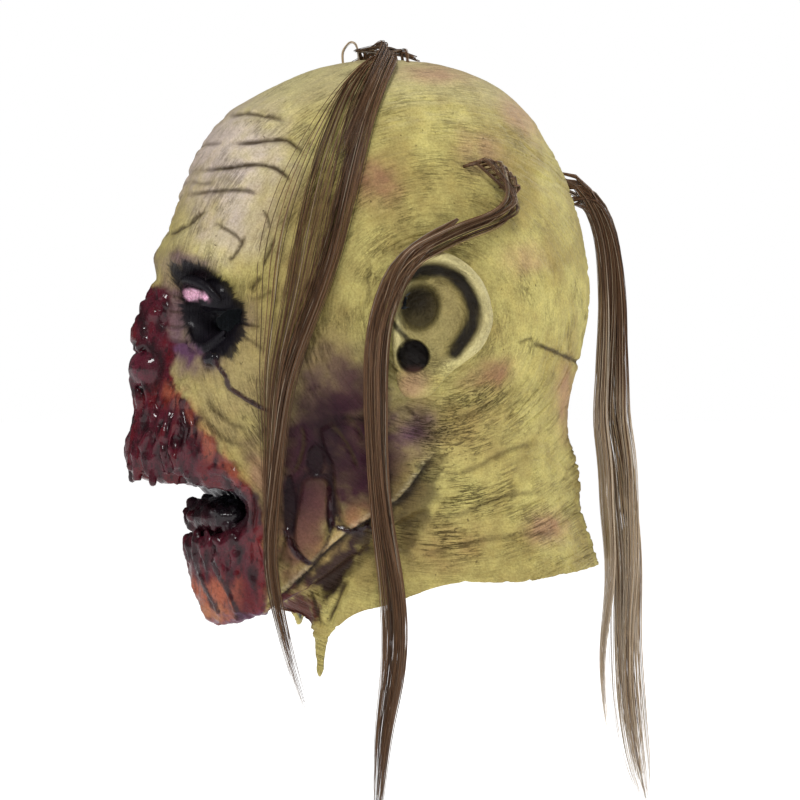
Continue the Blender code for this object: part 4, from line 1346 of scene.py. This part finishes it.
class Nodes:
    """Short ways to place shader nodes."""

    def __init__(self, name):
        self.material = bpy.data.materials.new(name)
        self.material.use_nodes = True
        self.tree = self.material.node_tree
        self.shader = self.tree.nodes["Principled BSDF"]

    def add(self, kind, inputs=None, **settings):
        node = self.tree.nodes.new(kind)
        for key, value in settings.items():
            setattr(node, key, value)
        for key, value in (inputs or {}).items():
            self.put(node.inputs[key], value)
        return node

    def put(self, socket, value):
        if isinstance(value, bpy.types.NodeSocket):
            self.tree.links.new(value, socket)
        else:
            socket.default_value = value

    def attribute(self, name, output="Fac"):
        return self.add("ShaderNodeAttribute", attribute_name=name).outputs[output]

    def math(self, operation, a, b=0.0, c=0.0, clamp=False):
        node = self.add("ShaderNodeMath", {0: a, 1: b, 2: c}, operation=operation)
        node.use_clamp = clamp
        return node.outputs[0]

    def noise(self, vector, scale, detail=3.0, roughness=0.55, distortion=0.0):
        return self.add(
            "ShaderNodeTexNoise",
            {"Vector": vector, "Scale": scale, "Detail": detail, "Roughness": roughness,
             "Distortion": distortion},
        ).outputs["Fac"]

    def stretch(self, vector, scale, turn=(0, 0, 0)):
        return self.add(
            "ShaderNodeMapping", {"Vector": vector, "Rotation": turn, "Scale": scale}
        ).outputs[0]

    def ramp(self, value, low, high):
        return self.add(
            "ShaderNodeMapRange",
            {"Value": value, "From Min": low, "From Max": high, "To Min": 0.0, "To Max": 1.0},
            interpolation_type="SMOOTHSTEP",
        ).outputs[0]

    def mix(self, amount, a, b, blend="MIX"):
        node = self.add("ShaderNodeMix", data_type="RGBA", blend_type=blend)
        self.put(node.inputs[0], amount)
        for socket, value in ((node.inputs[6], a), (node.inputs[7], b)):
            self.put(socket, value if isinstance(value, bpy.types.NodeSocket) else (*value, 1.0))
        return node.outputs[2]

    def bump(self, height, strength, distance, normal=None):
        inputs = {"Height": height, "Strength": strength, "Distance": distance}
        if normal is not None:
            inputs["Normal"] = normal
        return self.add("ShaderNodeBump", inputs).outputs[0]


def skin_material():
    n = Nodes("latex_paint")
    where = n.add("ShaderNodeTexCoord").outputs["Object"]
    paint = n.attribute("paint", "Color")
    wet, grime, eye, feather = (n.attribute(k) for k in ("wet", "grime", "eye", "feather"))
    rays = n.attribute("rays", "Vector")
    flow = n.attribute("flow", "Vector")

    speckle = n.noise(where, 900, 4, 0.65)
    blotch = n.noise(where, 140, 5, 0.6)
    colour = n.mix(n.math("MULTIPLY", n.ramp(blotch, 0.50, 0.72), 0.16), paint,
                   tuple(OLIVE_DARK), "MULTIPLY")
    colour = n.mix(n.ramp(speckle, 0.35, 0.65), colour, (1.0, 1.0, 1.0), "MULTIPLY")
    dark = n.mix(1.0, colour, (0.80, 0.78, 0.74), "MULTIPLY")
    colour = n.mix(n.ramp(speckle, 0.62, 0.38), colour, dark)
    light = n.mix(1.0, colour, (1.10, 1.09, 1.06), "MULTIPLY")
    colour = n.mix(n.ramp(blotch, 0.55, 0.35), colour, light)

    # Fine wrinkles that swirl round the ear, and brush strokes where grime gathers.
    def threads(scale, width):
        value = n.noise(n.stretch(flow, scale), 1.0, 4, 0.6, 0.25)
        return n.ramp(n.math("ABSOLUTE", n.math("SUBTRACT", value, 0.5)), width, 0.0)

    lines = n.math("MAXIMUM", threads((1, 1, 1), 0.022), threads((2.3, 2.3, 2.1), 0.03))
    gaps = n.ramp(n.noise(where, 60, 3), 0.40, 0.60)
    strength = n.math("MULTIPLY", gaps, n.math("MULTIPLY_ADD", grime, 0.95, 0.06))
    lines = n.math("MULTIPLY", lines, strength)
    stroke = n.noise(n.stretch(flow, (4.2, 4.2, 2.0)), 1.0, 5, 0.72, 0.5)
    level = n.math("MULTIPLY_ADD", grime, 0.26, 0.19)
    stroke = n.ramp(n.math("SUBTRACT", level, stroke), -0.04, 0.05)
    fleck = n.noise(where, 420, 2, 0.5)
    fleck = n.ramp(n.math("SUBTRACT", n.math("MULTIPLY_ADD", grime, 0.06, 0.25), fleck), -0.02, 0.03)
    marks = n.math("MAXIMUM", n.math("MULTIPLY", stroke, 0.72), n.math("MULTIPLY", fleck, 0.6))
    marks = n.math("MAXIMUM", marks, lines)
    dry = n.math("SUBTRACT", 1.0, wet)
    marks = n.math("MULTIPLY", marks, dry, clamp=True)
    colour = n.mix(marks, colour, tuple(GRIME))

    # Black strokes that fan out from the socket.
    streak = n.noise(n.stretch(rays, (9, 9, 1.6)), 1.0, 5, 0.72, 0.3)
    ragged = n.math("MULTIPLY", feather, n.math("MULTIPLY_ADD", n.noise(where, 90, 3), 0.7, 0.25))
    strokes = n.ramp(n.math("ADD", streak, ragged), 0.78, 1.02)
    colour = n.mix(n.math("MULTIPLY", strokes, n.math("SUBTRACT", 0.92, eye), clamp=True),
                   colour, tuple(BLACK))
    # Magenta veins in the eye.
    vein = n.add("ShaderNodeTexVoronoi", {"Vector": where, "Scale": 380.0},
                 feature="DISTANCE_TO_EDGE").outputs["Distance"]
    veins = n.math("MULTIPLY", n.ramp(vein, 0.09, 0.02), n.math("MULTIPLY", eye, 0.45))
    colour = n.mix(veins, colour, tuple(linear(150, 26, 92)))
    # Dark and bright in the wet flesh.
    clots = n.noise(n.stretch(where, (330, 330, 190)), 1.0, 4, 0.65)
    flesh_dark = n.math("MULTIPLY", n.ramp(clots, 0.52, 0.66), wet)
    flesh_dark = n.math("MULTIPLY", flesh_dark, n.math("SUBTRACT", 0.75, eye), clamp=True)
    colour = n.mix(flesh_dark, colour, tuple(linear(26, 9, 14)))
    n.put(n.shader.inputs["Base Color"], colour)

    rough = n.math("MULTIPLY_ADD", n.ramp(speckle, 0.3, 0.7), 0.16, 0.42)
    gloss = n.math("MULTIPLY_ADD", n.ramp(clots, 0.35, 0.6), 0.20, 0.16)
    mixed = n.add("ShaderNodeMix", {0: wet, 2: rough, 3: gloss}, data_type="FLOAT").outputs[0]
    n.put(n.shader.inputs["Roughness"], mixed)
    n.put(n.shader.inputs["Coat Weight"], n.math("MULTIPLY", wet, 0.4))
    n.shader.inputs["Specular IOR Level"].default_value = 0.12
    n.shader.inputs["Coat Roughness"].default_value = 0.08
    n.shader.inputs["Subsurface Weight"].default_value = 0.0

    pores = n.noise(where, 1300, 3, 0.6)
    crepe = n.noise(n.stretch(where, (260, 260, 620), (0.2, 0.3, 0.1)), 1.0, 4, 0.6, 0.6)
    folds = n.noise(n.stretch(flow, (0.9, 0.9, 1.5)), 1.0, 3, 0.6, 0.4)
    normal = n.bump(pores, 0.35, 0.0004)
    normal = n.bump(n.math("MULTIPLY", folds, dry), 0.6, 0.0022, normal)
    normal = n.bump(crepe, 0.55, 0.0008, normal)
    normal = n.bump(n.math("MULTIPLY", marks, -1.0), 0.9, 0.0006, normal)
    normal = n.bump(n.math("MULTIPLY", clots, wet), 0.8, 0.0014, normal)
    n.put(n.shader.inputs["Normal"], normal)
    return n.material


def hair_material():
    n = Nodes("hair_fibre")
    where = n.add("ShaderNodeTexCoord").outputs["Object"]
    tint = n.attribute("tint", "Color")
    band = n.noise(n.stretch(where, (900, 900, 60)), 1.0, 3, 0.6)
    dark = n.mix(1.0, tint, (0.74, 0.72, 0.70), "MULTIPLY")
    colour = n.mix(n.ramp(band, 0.30, 0.70), dark, tint)
    n.put(n.shader.inputs["Base Color"], colour)
    n.put(n.shader.inputs["Roughness"], n.math("MULTIPLY_ADD", band, 0.25, 0.28))
    n.put(n.shader.inputs["Normal"], n.bump(band, 0.3, 0.0002))
    n.shader.inputs["Specular IOR Level"].default_value = 0.25
    return n.material


def floor_material():
    n = Nodes("pale_floor")
    where = n.add("ShaderNodeTexCoord").outputs["Object"]
    soft = n.noise(where, 3.0, 2)
    n.put(n.shader.inputs["Base Color"], n.mix(soft, (0.96, 0.96, 0.96), (0.98, 0.98, 0.98)))
    n.shader.inputs["Roughness"].default_value = 0.9
    n.shader.inputs["Emission Color"].default_value = (1.0, 1.0, 1.0, 1.0)
    n.shader.inputs["Emission Strength"].default_value = 0.57
    return n.material


# ---- hair. Each lock follows its solid's route: angle, drop, off the skin, width, thickness.

BROWN = (130, 96, 68)
BROWN_DARK = (62, 42, 28)
BLOND = (190, 162, 124)
GREY = (204, 192, 174)

# Name, strands, bundles, spread, pale share at the root and tip, fan of the roots, route.
LOCKS = {
    "hair_crown": (
        ("temple_near", 84, 4, 1.3, (0.03, 0.10), 0, (
            (92, 0.010, 0.0030, 0.003, 0.0030), (84, 0.030, 0.0055, 0.008, 0.0040),
            (78, 0.060, 0.0050, 0.008, 0.0040), (72, 0.120, 0.0046, 0.008, 0.0045),
            (66, 0.240, 0.0048, 0.010, 0.0045), (61, 0.370, 0.0054, 0.010, 0.0045),
            (52, 0.510, 0.0060, 0.010, 0.0045), (44, 0.650, 0.0068, 0.009, 0.0040),
            (38, 0.800, 0.0080, 0.008, 0.0040), (36, 0.910, 0.0090, 0.007, 0.0040),
            (39, 1.000, 0.0090, 0.006, 0.0040), (43, 1.080, 0.0080, 0.005, 0.0030),
            (47, 1.140, 0.0060, 0.003, 0.0020))),
        ("temple_far", 46, 6, 1.5, (0.03, 0.10), 0, (
            (90, 0.012, 0.0030, 0.003, 0.0030), (76, 0.030, 0.0055, 0.007, 0.0040),
            (68, 0.060, 0.0050, 0.009, 0.0040), (62, 0.120, 0.0046, 0.013, 0.0045),
            (56, 0.240, 0.0048, 0.017, 0.0045), (52, 0.370, 0.0054, 0.017, 0.0045),
            (48, 0.510, 0.0060, 0.012, 0.0045), (42, 0.650, 0.0068, 0.009, 0.0040),
            (37, 0.800, 0.0080, 0.007, 0.0040), (36, 0.910, 0.0090, 0.006, 0.0040),
            (39, 1.000, 0.0090, 0.005, 0.0040), (42, 1.060, 0.0080, 0.003, 0.0020))),
        ("far_wisp", 34, 3, 1.2, (0.05, 0.15), 0, (
            (150, 0.002, 0.0015, 0.006, 0.0030), (215, -0.010, 0.0040, 0.005, 0.0030),
            (262, 0.008, 0.0070, 0.005, 0.0030), (284, 0.060, 0.0055, 0.005, 0.0030),
            (286, 0.180, 0.0045, 0.005, 0.0030), (290, 0.320, 0.0045, 0.004, 0.0030),
            (292, 0.420, 0.0055, 0.002, 0.0020))),
    ),
    "hair_side": (
        ("ear_front", 210, 6, 1.1, (0.04, 0.05), 0, (
            (99, 0.303, 0.0110, 0.001, 0.0010), (90, 0.340, 0.0130, 0.006, 0.0050),
            (82, 0.385, 0.0125, 0.010, 0.0050), (77, 0.450, 0.0128, 0.010, 0.0050),
            (75, 0.520, 0.0125, 0.010, 0.0050), (75, 0.610, 0.0095, 0.010, 0.0050),
            (76, 0.700, 0.0070, 0.009, 0.0050), (78, 0.800, 0.0090, 0.009, 0.0050),
            (82, 0.900, 0.0100, 0.010, 0.0055), (84, 0.990, 0.0100, 0.010, 0.0055),
            (83, 1.080, 0.0090, 0.009, 0.0055), (79, 1.170, 0.0080, 0.007, 0.0050),
            (77, 1.260, 0.0080, 0.005, 0.0040), (75, 1.345, 0.0080, 0.003, 0.0020))),
    ),
    "hair_back": (
        ("inner", 90, 3, 1.2, (0.10, 0.90), 0.012, (
            (178, 0.225, 0.0010, 0.004, 0.0030), (178, 0.250, 0.0090, 0.008, 0.0050),
            (177, 0.312, 0.0115, 0.010, 0.0050), (176, 0.400, 0.0090, 0.012, 0.0050),
            (175, 0.500, 0.0120, 0.012, 0.0060), (175, 0.606, 0.0180, 0.012, 0.0070),
            (174, 0.713, 0.0160, 0.012, 0.0070), (173, 0.821, 0.0120, 0.012, 0.0060),
            (173, 0.964, 0.0050, 0.008, 0.0050), (173, 1.063, 0.0010, 0.006, 0.0045),
            (173, 1.140, 0.0020, 0.005, 0.0035), (172, 1.200, 0.0035, 0.003, 0.0020))),
        ("outer", 250, 7, 1.1, (0.06, 0.85), 0.018, (
            (178, 0.226, 0.0010, 0.003, 0.0030), (178, 0.240, 0.0130, 0.008, 0.0060),
            (179, 0.312, 0.0180, 0.014, 0.0090), (180, 0.400, 0.0175, 0.018, 0.0105),
            (181, 0.500, 0.0220, 0.018, 0.0125), (181, 0.606, 0.0300, 0.018, 0.0155),
            (181, 0.713, 0.0295, 0.018, 0.0190), (181, 0.821, 0.0270, 0.018, 0.0200),
            (181, 0.964, 0.0195, 0.018, 0.0190), (181, 1.063, 0.0190, 0.018, 0.0175),
            (181, 1.170, 0.0205, 0.016, 0.0165), (181, 1.278, 0.0260, 0.012, 0.0120),
            (181, 1.350, 0.0320, 0.005, 0.0040))),
    ),
}
# Curls at the roots: where each starts in the photo, and where they all run to, with lifts.
CURLS = {
    "hair_crown": (
        ((362, 58), (367, 56), (373, 55), (379, 55), (385, 56), (391, 57), (397, 58), (403, 60), (408, 62)),
        (-7, -9),
        ((384, 62, 0.0060), (374, 84, 0.0050), (360, 114, 0.0045), (346, 150, 0.0045)),
    ),
    "hair_side": (
        ((463, 167), (469, 164), (476, 164), (482, 166), (487, 170), (492, 175), (496, 181), (500, 188)),
        (13, 2),
        ((503, 203, 0.0060), (488, 219, 0.0080), (458, 231, 0.0090), (432, 243, 0.0120),
         (410, 256, 0.0135), (396, 276, 0.0130), (386, 306, 0.0125)),
    ),
}
STRAND_POINTS = 44
STRAND_SIDES = 3


def unit(vectors):
    return vectors / np.maximum(np.linalg.norm(vectors, axis=-1, keepdims=True), 1e-9)


def strand_mesh(name, paths, radii, tints, material):
    """Thin tubes along the paths, which are an array of strand, point, coordinate."""
    strands, count, _ = paths.shape
    along = unit(np.gradient(paths, axis=1))
    side = unit(np.cross(along, (0.31, 0.85, 0.42)))
    out = np.cross(along, side)
    turns = np.arange(STRAND_SIDES) * 2 * math.pi / STRAND_SIDES
    ring = (
        side[:, :, None] * np.cos(turns)[None, None, :, None]
        + out[:, :, None] * np.sin(turns)[None, None, :, None]
    )
    points = paths[:, :, None] + ring * radii[:, :, None, None]
    first = np.arange(strands)[:, None, None] * count * STRAND_SIDES
    level = np.arange(count - 1)[None, :, None] * STRAND_SIDES
    k = np.arange(STRAND_SIDES)[None, None, :]
    j = (k + 1) % STRAND_SIDES
    a, b = first + level + k, first + level + j
    quads = np.stack((a, b, b + STRAND_SIDES, a + STRAND_SIDES), -1).reshape(-1, 4)
    start = (np.arange(strands) * count * STRAND_SIDES)[:, None]
    caps = np.vstack((
        start + np.arange(STRAND_SIDES)[::-1],
        start + (count - 1) * STRAND_SIDES + np.arange(STRAND_SIDES),
    ))
    data = mesh_from_arrays(name, points.reshape(-1, 3), [quads, caps])
    colours = np.repeat(tints.reshape(-1, 3), STRAND_SIDES, axis=0)
    give(data, "tint", "FLOAT_COLOR", np.column_stack((colours, np.ones(len(colours)))))
    data.shade_smooth()
    return add_object(name, data, material)


def eased(rows, times):
    rows = rows.copy()
    for _ in range(times):
        rows[1:-1] = (rows[:-2] + 2 * rows[1:-1] + rows[2:]) / 4
    return rows


def lock_paths(strands, bundles, spread, fan, route):
    """Strands that follow a route in bundles, and how far along the route each point is."""
    rows = smooth_line(route, 6)
    seats = [on_skin(row[0], row[1], row[2] + HAIR_GAP) for row in rows]
    centres = eased(np.array([s[0] for s in seats]), 10)
    normals = eased(np.array([s[1] for s in seats]), 16)
    along = unit(np.gradient(centres, axis=0))
    across = unit(np.cross(along, normals))
    out = unit(np.cross(across, along))
    length = np.concatenate(([0], np.cumsum(np.linalg.norm(np.diff(centres, axis=0), axis=1))))
    length /= length[-1]
    share = np.linspace(0, 1, STRAND_POINTS)
    end = RANDOM.uniform(0.80, 1.0, strands) ** 0.7
    where = share[None] * end[:, None]

    def along_route(values):
        return np.stack([np.interp(where, length, values[:, i]) for i in range(values.shape[1])], -1)

    bundle = np.arange(strands) % bundles
    turn = bundle * 2.4 + 0.7
    away = np.sqrt((bundle + 0.5) / bundles)
    sway = RANDOM.uniform(0, 2 * math.pi, bundles)[bundle][:, None]
    angle = RANDOM.uniform(0, 2 * math.pi, strands)
    radius = np.sqrt(RANDOM.random(strands)) * 1.1 / math.sqrt(bundles)
    a = (away * np.cos(turn) + radius * np.cos(angle))[:, None] + 0.20 * np.sin(sway + 7 * where)
    b = (away * np.sin(turn) + radius * np.sin(angle))[:, None] + 0.20 * np.cos(sway + 6 * where)
    wave = RANDOM.uniform(0, 2 * math.pi, (strands, 1))
    a = a + 0.10 * np.sin(wave + RANDOM.uniform(4, 9, (strands, 1)) * where)
    sizes = along_route(rows[:, 3:5])
    loose = RANDOM.random((strands, 1)) < 0.30
    belly = np.sin(np.pi * np.clip(where * 1.15, 0, 1)) ** 0.8
    wide = 1 + (spread - 1) * np.where(loose, 2.2, 0.5) * belly
    paths = along_route(centres)
    paths += along_route(across) * (a * sizes[..., 0] / 2 * wide)[..., None]
    paths += along_route(out) * (np.maximum(b, -0.8) * sizes[..., 1] / 2)[..., None]
    # The bundles leave the head one below the other.
    step = (bundle / max(bundles - 1, 1) - 0.5)[:, None] * fan * (1 - step_up(where, 0, 0.07))
    paths[..., 2] -= step
    paths[..., 1] += 0.33 * step
    return paths, where


def curl_paths(roots, lean, run, strands):
    """Small curls that leave the skin at their roots and run together into the lock."""
    paths = []
    for root in roots:
        start, normal = seat(root, -0.0003)
        bent = np.array(root) + lean
        crest = seat(bent, 0.0045 + RANDOM.uniform(0, 0.002))[0]
        points = [start, start * 0.6 + crest * 0.4 + normal * 0.0035, crest]
        side = RANDOM.normal(0, 0.0024, 3)
        points += [seat(p[:2], p[2])[0] + side for p in run]
        line = smooth_line(points, 8)
        length = np.concatenate(([0], np.cumsum(np.linalg.norm(np.diff(line, axis=0), axis=1))))
        share = np.linspace(0, length[-1], STRAND_POINTS)
        middle = np.stack([np.interp(share, length, line[:, i]) for i in range(3)], 1)
        grow = 0.35 + np.linspace(0, 1, STRAND_POINTS)[:, None]
        for _ in range(strands):
            paths.append(middle + RANDOM.normal(0, 0.0010, 3) * grow)
    return np.array(paths)


CROWN_LOOP = ((344, 68), (343, 53), (347, 45), (352, 42), (357, 46), (359, 57), (359, 69))


def loop_path():
    """A pale strand that stands up over the crown as a small loop."""
    pixels = smooth_line(np.array(CROWN_LOOP) + RANDOM.normal(0, 0.7, 2), 8)
    share = np.linspace(0, len(pixels) - 1, STRAND_POINTS)
    path = [np.interp(share, np.arange(len(pixels)), pixels[:, i]) - PHOTO_MIDDLE for i in range(2)]
    path = AIM + np.outer(path[0] * PIXEL, RIGHTWARDS) - np.outer(path[1] * PIXEL, (0, 0, 1))
    return path + np.outer(np.linspace(-1, 1, STRAND_POINTS) * RANDOM.normal(0, 0.0015), TOWARDS)


def strand_tints(where, pale_root, pale_tip):
    """Brown strands, some of them pale, and more so towards the tips."""
    strands = len(where)
    shade = RANDOM.random((strands, 1, 1))
    tint = linear(*BROWN_DARK) * (1 - shade) + linear(*BROWN) * shade
    pale = RANDOM.random((strands, 1, 1))
    pale = linear(*BLOND) * (1 - pale) + linear(*GREY) * pale
    share = pale_root + (pale_tip - pale_root) * step_up(where, 0.12, 0.60)
    amount = step_up(share - RANDOM.random((strands, 1)), -0.12, 0.12)[..., None]
    return tint * (1 - amount) + pale * amount


def build_hair(name, material):
    paths, radii, tints = [], [], []

    def put(lock, where, pale):
        tip = 1 - 0.75 * np.linspace(0, 1, STRAND_POINTS) ** 5
        paths.append(lock)
        radii.append(RANDOM.uniform(0.00013, 0.00025, (len(lock), 1)) * tip)
        tints.append(strand_tints(where, *pale))

    for _, strands, bundles, spread, pale, fan, route in LOCKS[name]:
        lock, where = lock_paths(strands, bundles, spread, fan, route)
        put(lock, where, pale)
    if name == "hair_crown":
        for _ in range(9):
            put(loop_path()[None], np.ones((1, STRAND_POINTS)), (1.0, 1.0))
    if name in CURLS:
        lock = curl_paths(*CURLS[name], 14)
        put(lock, np.zeros((len(lock), STRAND_POINTS)), (0.10, 0.10))
    thing = strand_mesh(name + "_strands", np.vstack(paths), np.vstack(radii), np.vstack(tints), material)
    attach(thing, "root")
    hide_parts(name)
    return thing


# ---- camera, light and floor


def make_camera():
    data = bpy.data.cameras.new("camera")
    camera = bpy.data.objects.new("camera", data)
    bpy.context.scene.collection.objects.link(camera)
    data.sensor_width = SENSOR
    data.lens = SENSOR * CAMERA_DISTANCE / (PHOTO_SIDE * PIXEL)
    camera.location = EYE_POINT
    camera.rotation_euler = (Vector(AIM) - Vector(EYE_POINT)).to_track_quat("-Z", "Y").to_euler()
    bpy.context.scene.camera = camera


def make_light(name, place, size, power):
    data = bpy.data.lights.new(name, "AREA")
    data.shape = "SQUARE"
    data.size = size
    data.energy = power
    light = bpy.data.objects.new(name, data)
    light.location = place
    light.rotation_euler = (Vector(AIM) - Vector(place)).to_track_quat("-Z", "Y").to_euler()
    bpy.context.scene.collection.objects.link(light)


def make_stage():
    scene = bpy.context.scene
    scene.view_settings.view_transform = "Standard"
    scene.view_settings.look = "None"
    world = bpy.data.worlds.new("studio")
    world.use_nodes = True
    world.node_tree.nodes["Background"].inputs[0].default_value = (1.0, 1.0, 1.0, 1.0)
    # What the mask mirrors is dimmer than what the camera sees, so dark paint stays dark.
    ray = world.node_tree.nodes.new("ShaderNodeLightPath").outputs
    dim = [("Is Glossy Ray", -0.86), ("Is Diffuse Ray", -0.50)]
    strength = None
    for output, change in dim:
        step = world.node_tree.nodes.new("ShaderNodeMath")
        step.operation = "MULTIPLY_ADD"
        world.node_tree.links.new(ray[output], step.inputs[0])
        step.inputs[1].default_value = change
        step.inputs[2].default_value = 1.0
        if strength is not None:
            world.node_tree.links.new(strength, step.inputs[2])
        strength = step.outputs[0]
    world.node_tree.links.new(strength, world.node_tree.nodes["Background"].inputs[1])
    scene.world = world
    make_light("key", EYE_POINT * 0.8 + (0.5, -0.3, 1.6), 0.5, 32)
    make_light("back", (-0.6, 1.6, 0.9), 1.0, 14)
    points = np.array(((-30, -30, 0), (30, -30, 0), (30, 30, 0), (-30, 30, 0)), float)
    points[:, 2] = -0.415
    floor = add_object("floor", mesh_from_arrays("floor", points, [np.array(((0, 1, 2, 3),))]), floor_material())
    scene.cycles.use_denoising = True


make_camera()
make_stage()
skin_mesh, hollow_form = build_skin()
paint_skin(skin_mesh, hollow_form)
skin_mesh.shade_smooth()
mask = add_object("zombie_skin", skin_mesh, skin_material())
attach(mask, "root")
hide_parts("latex_shell")
fibre = hair_material()
for tuft_name in LOCKS:
    build_hair(tuft_name, fibre)
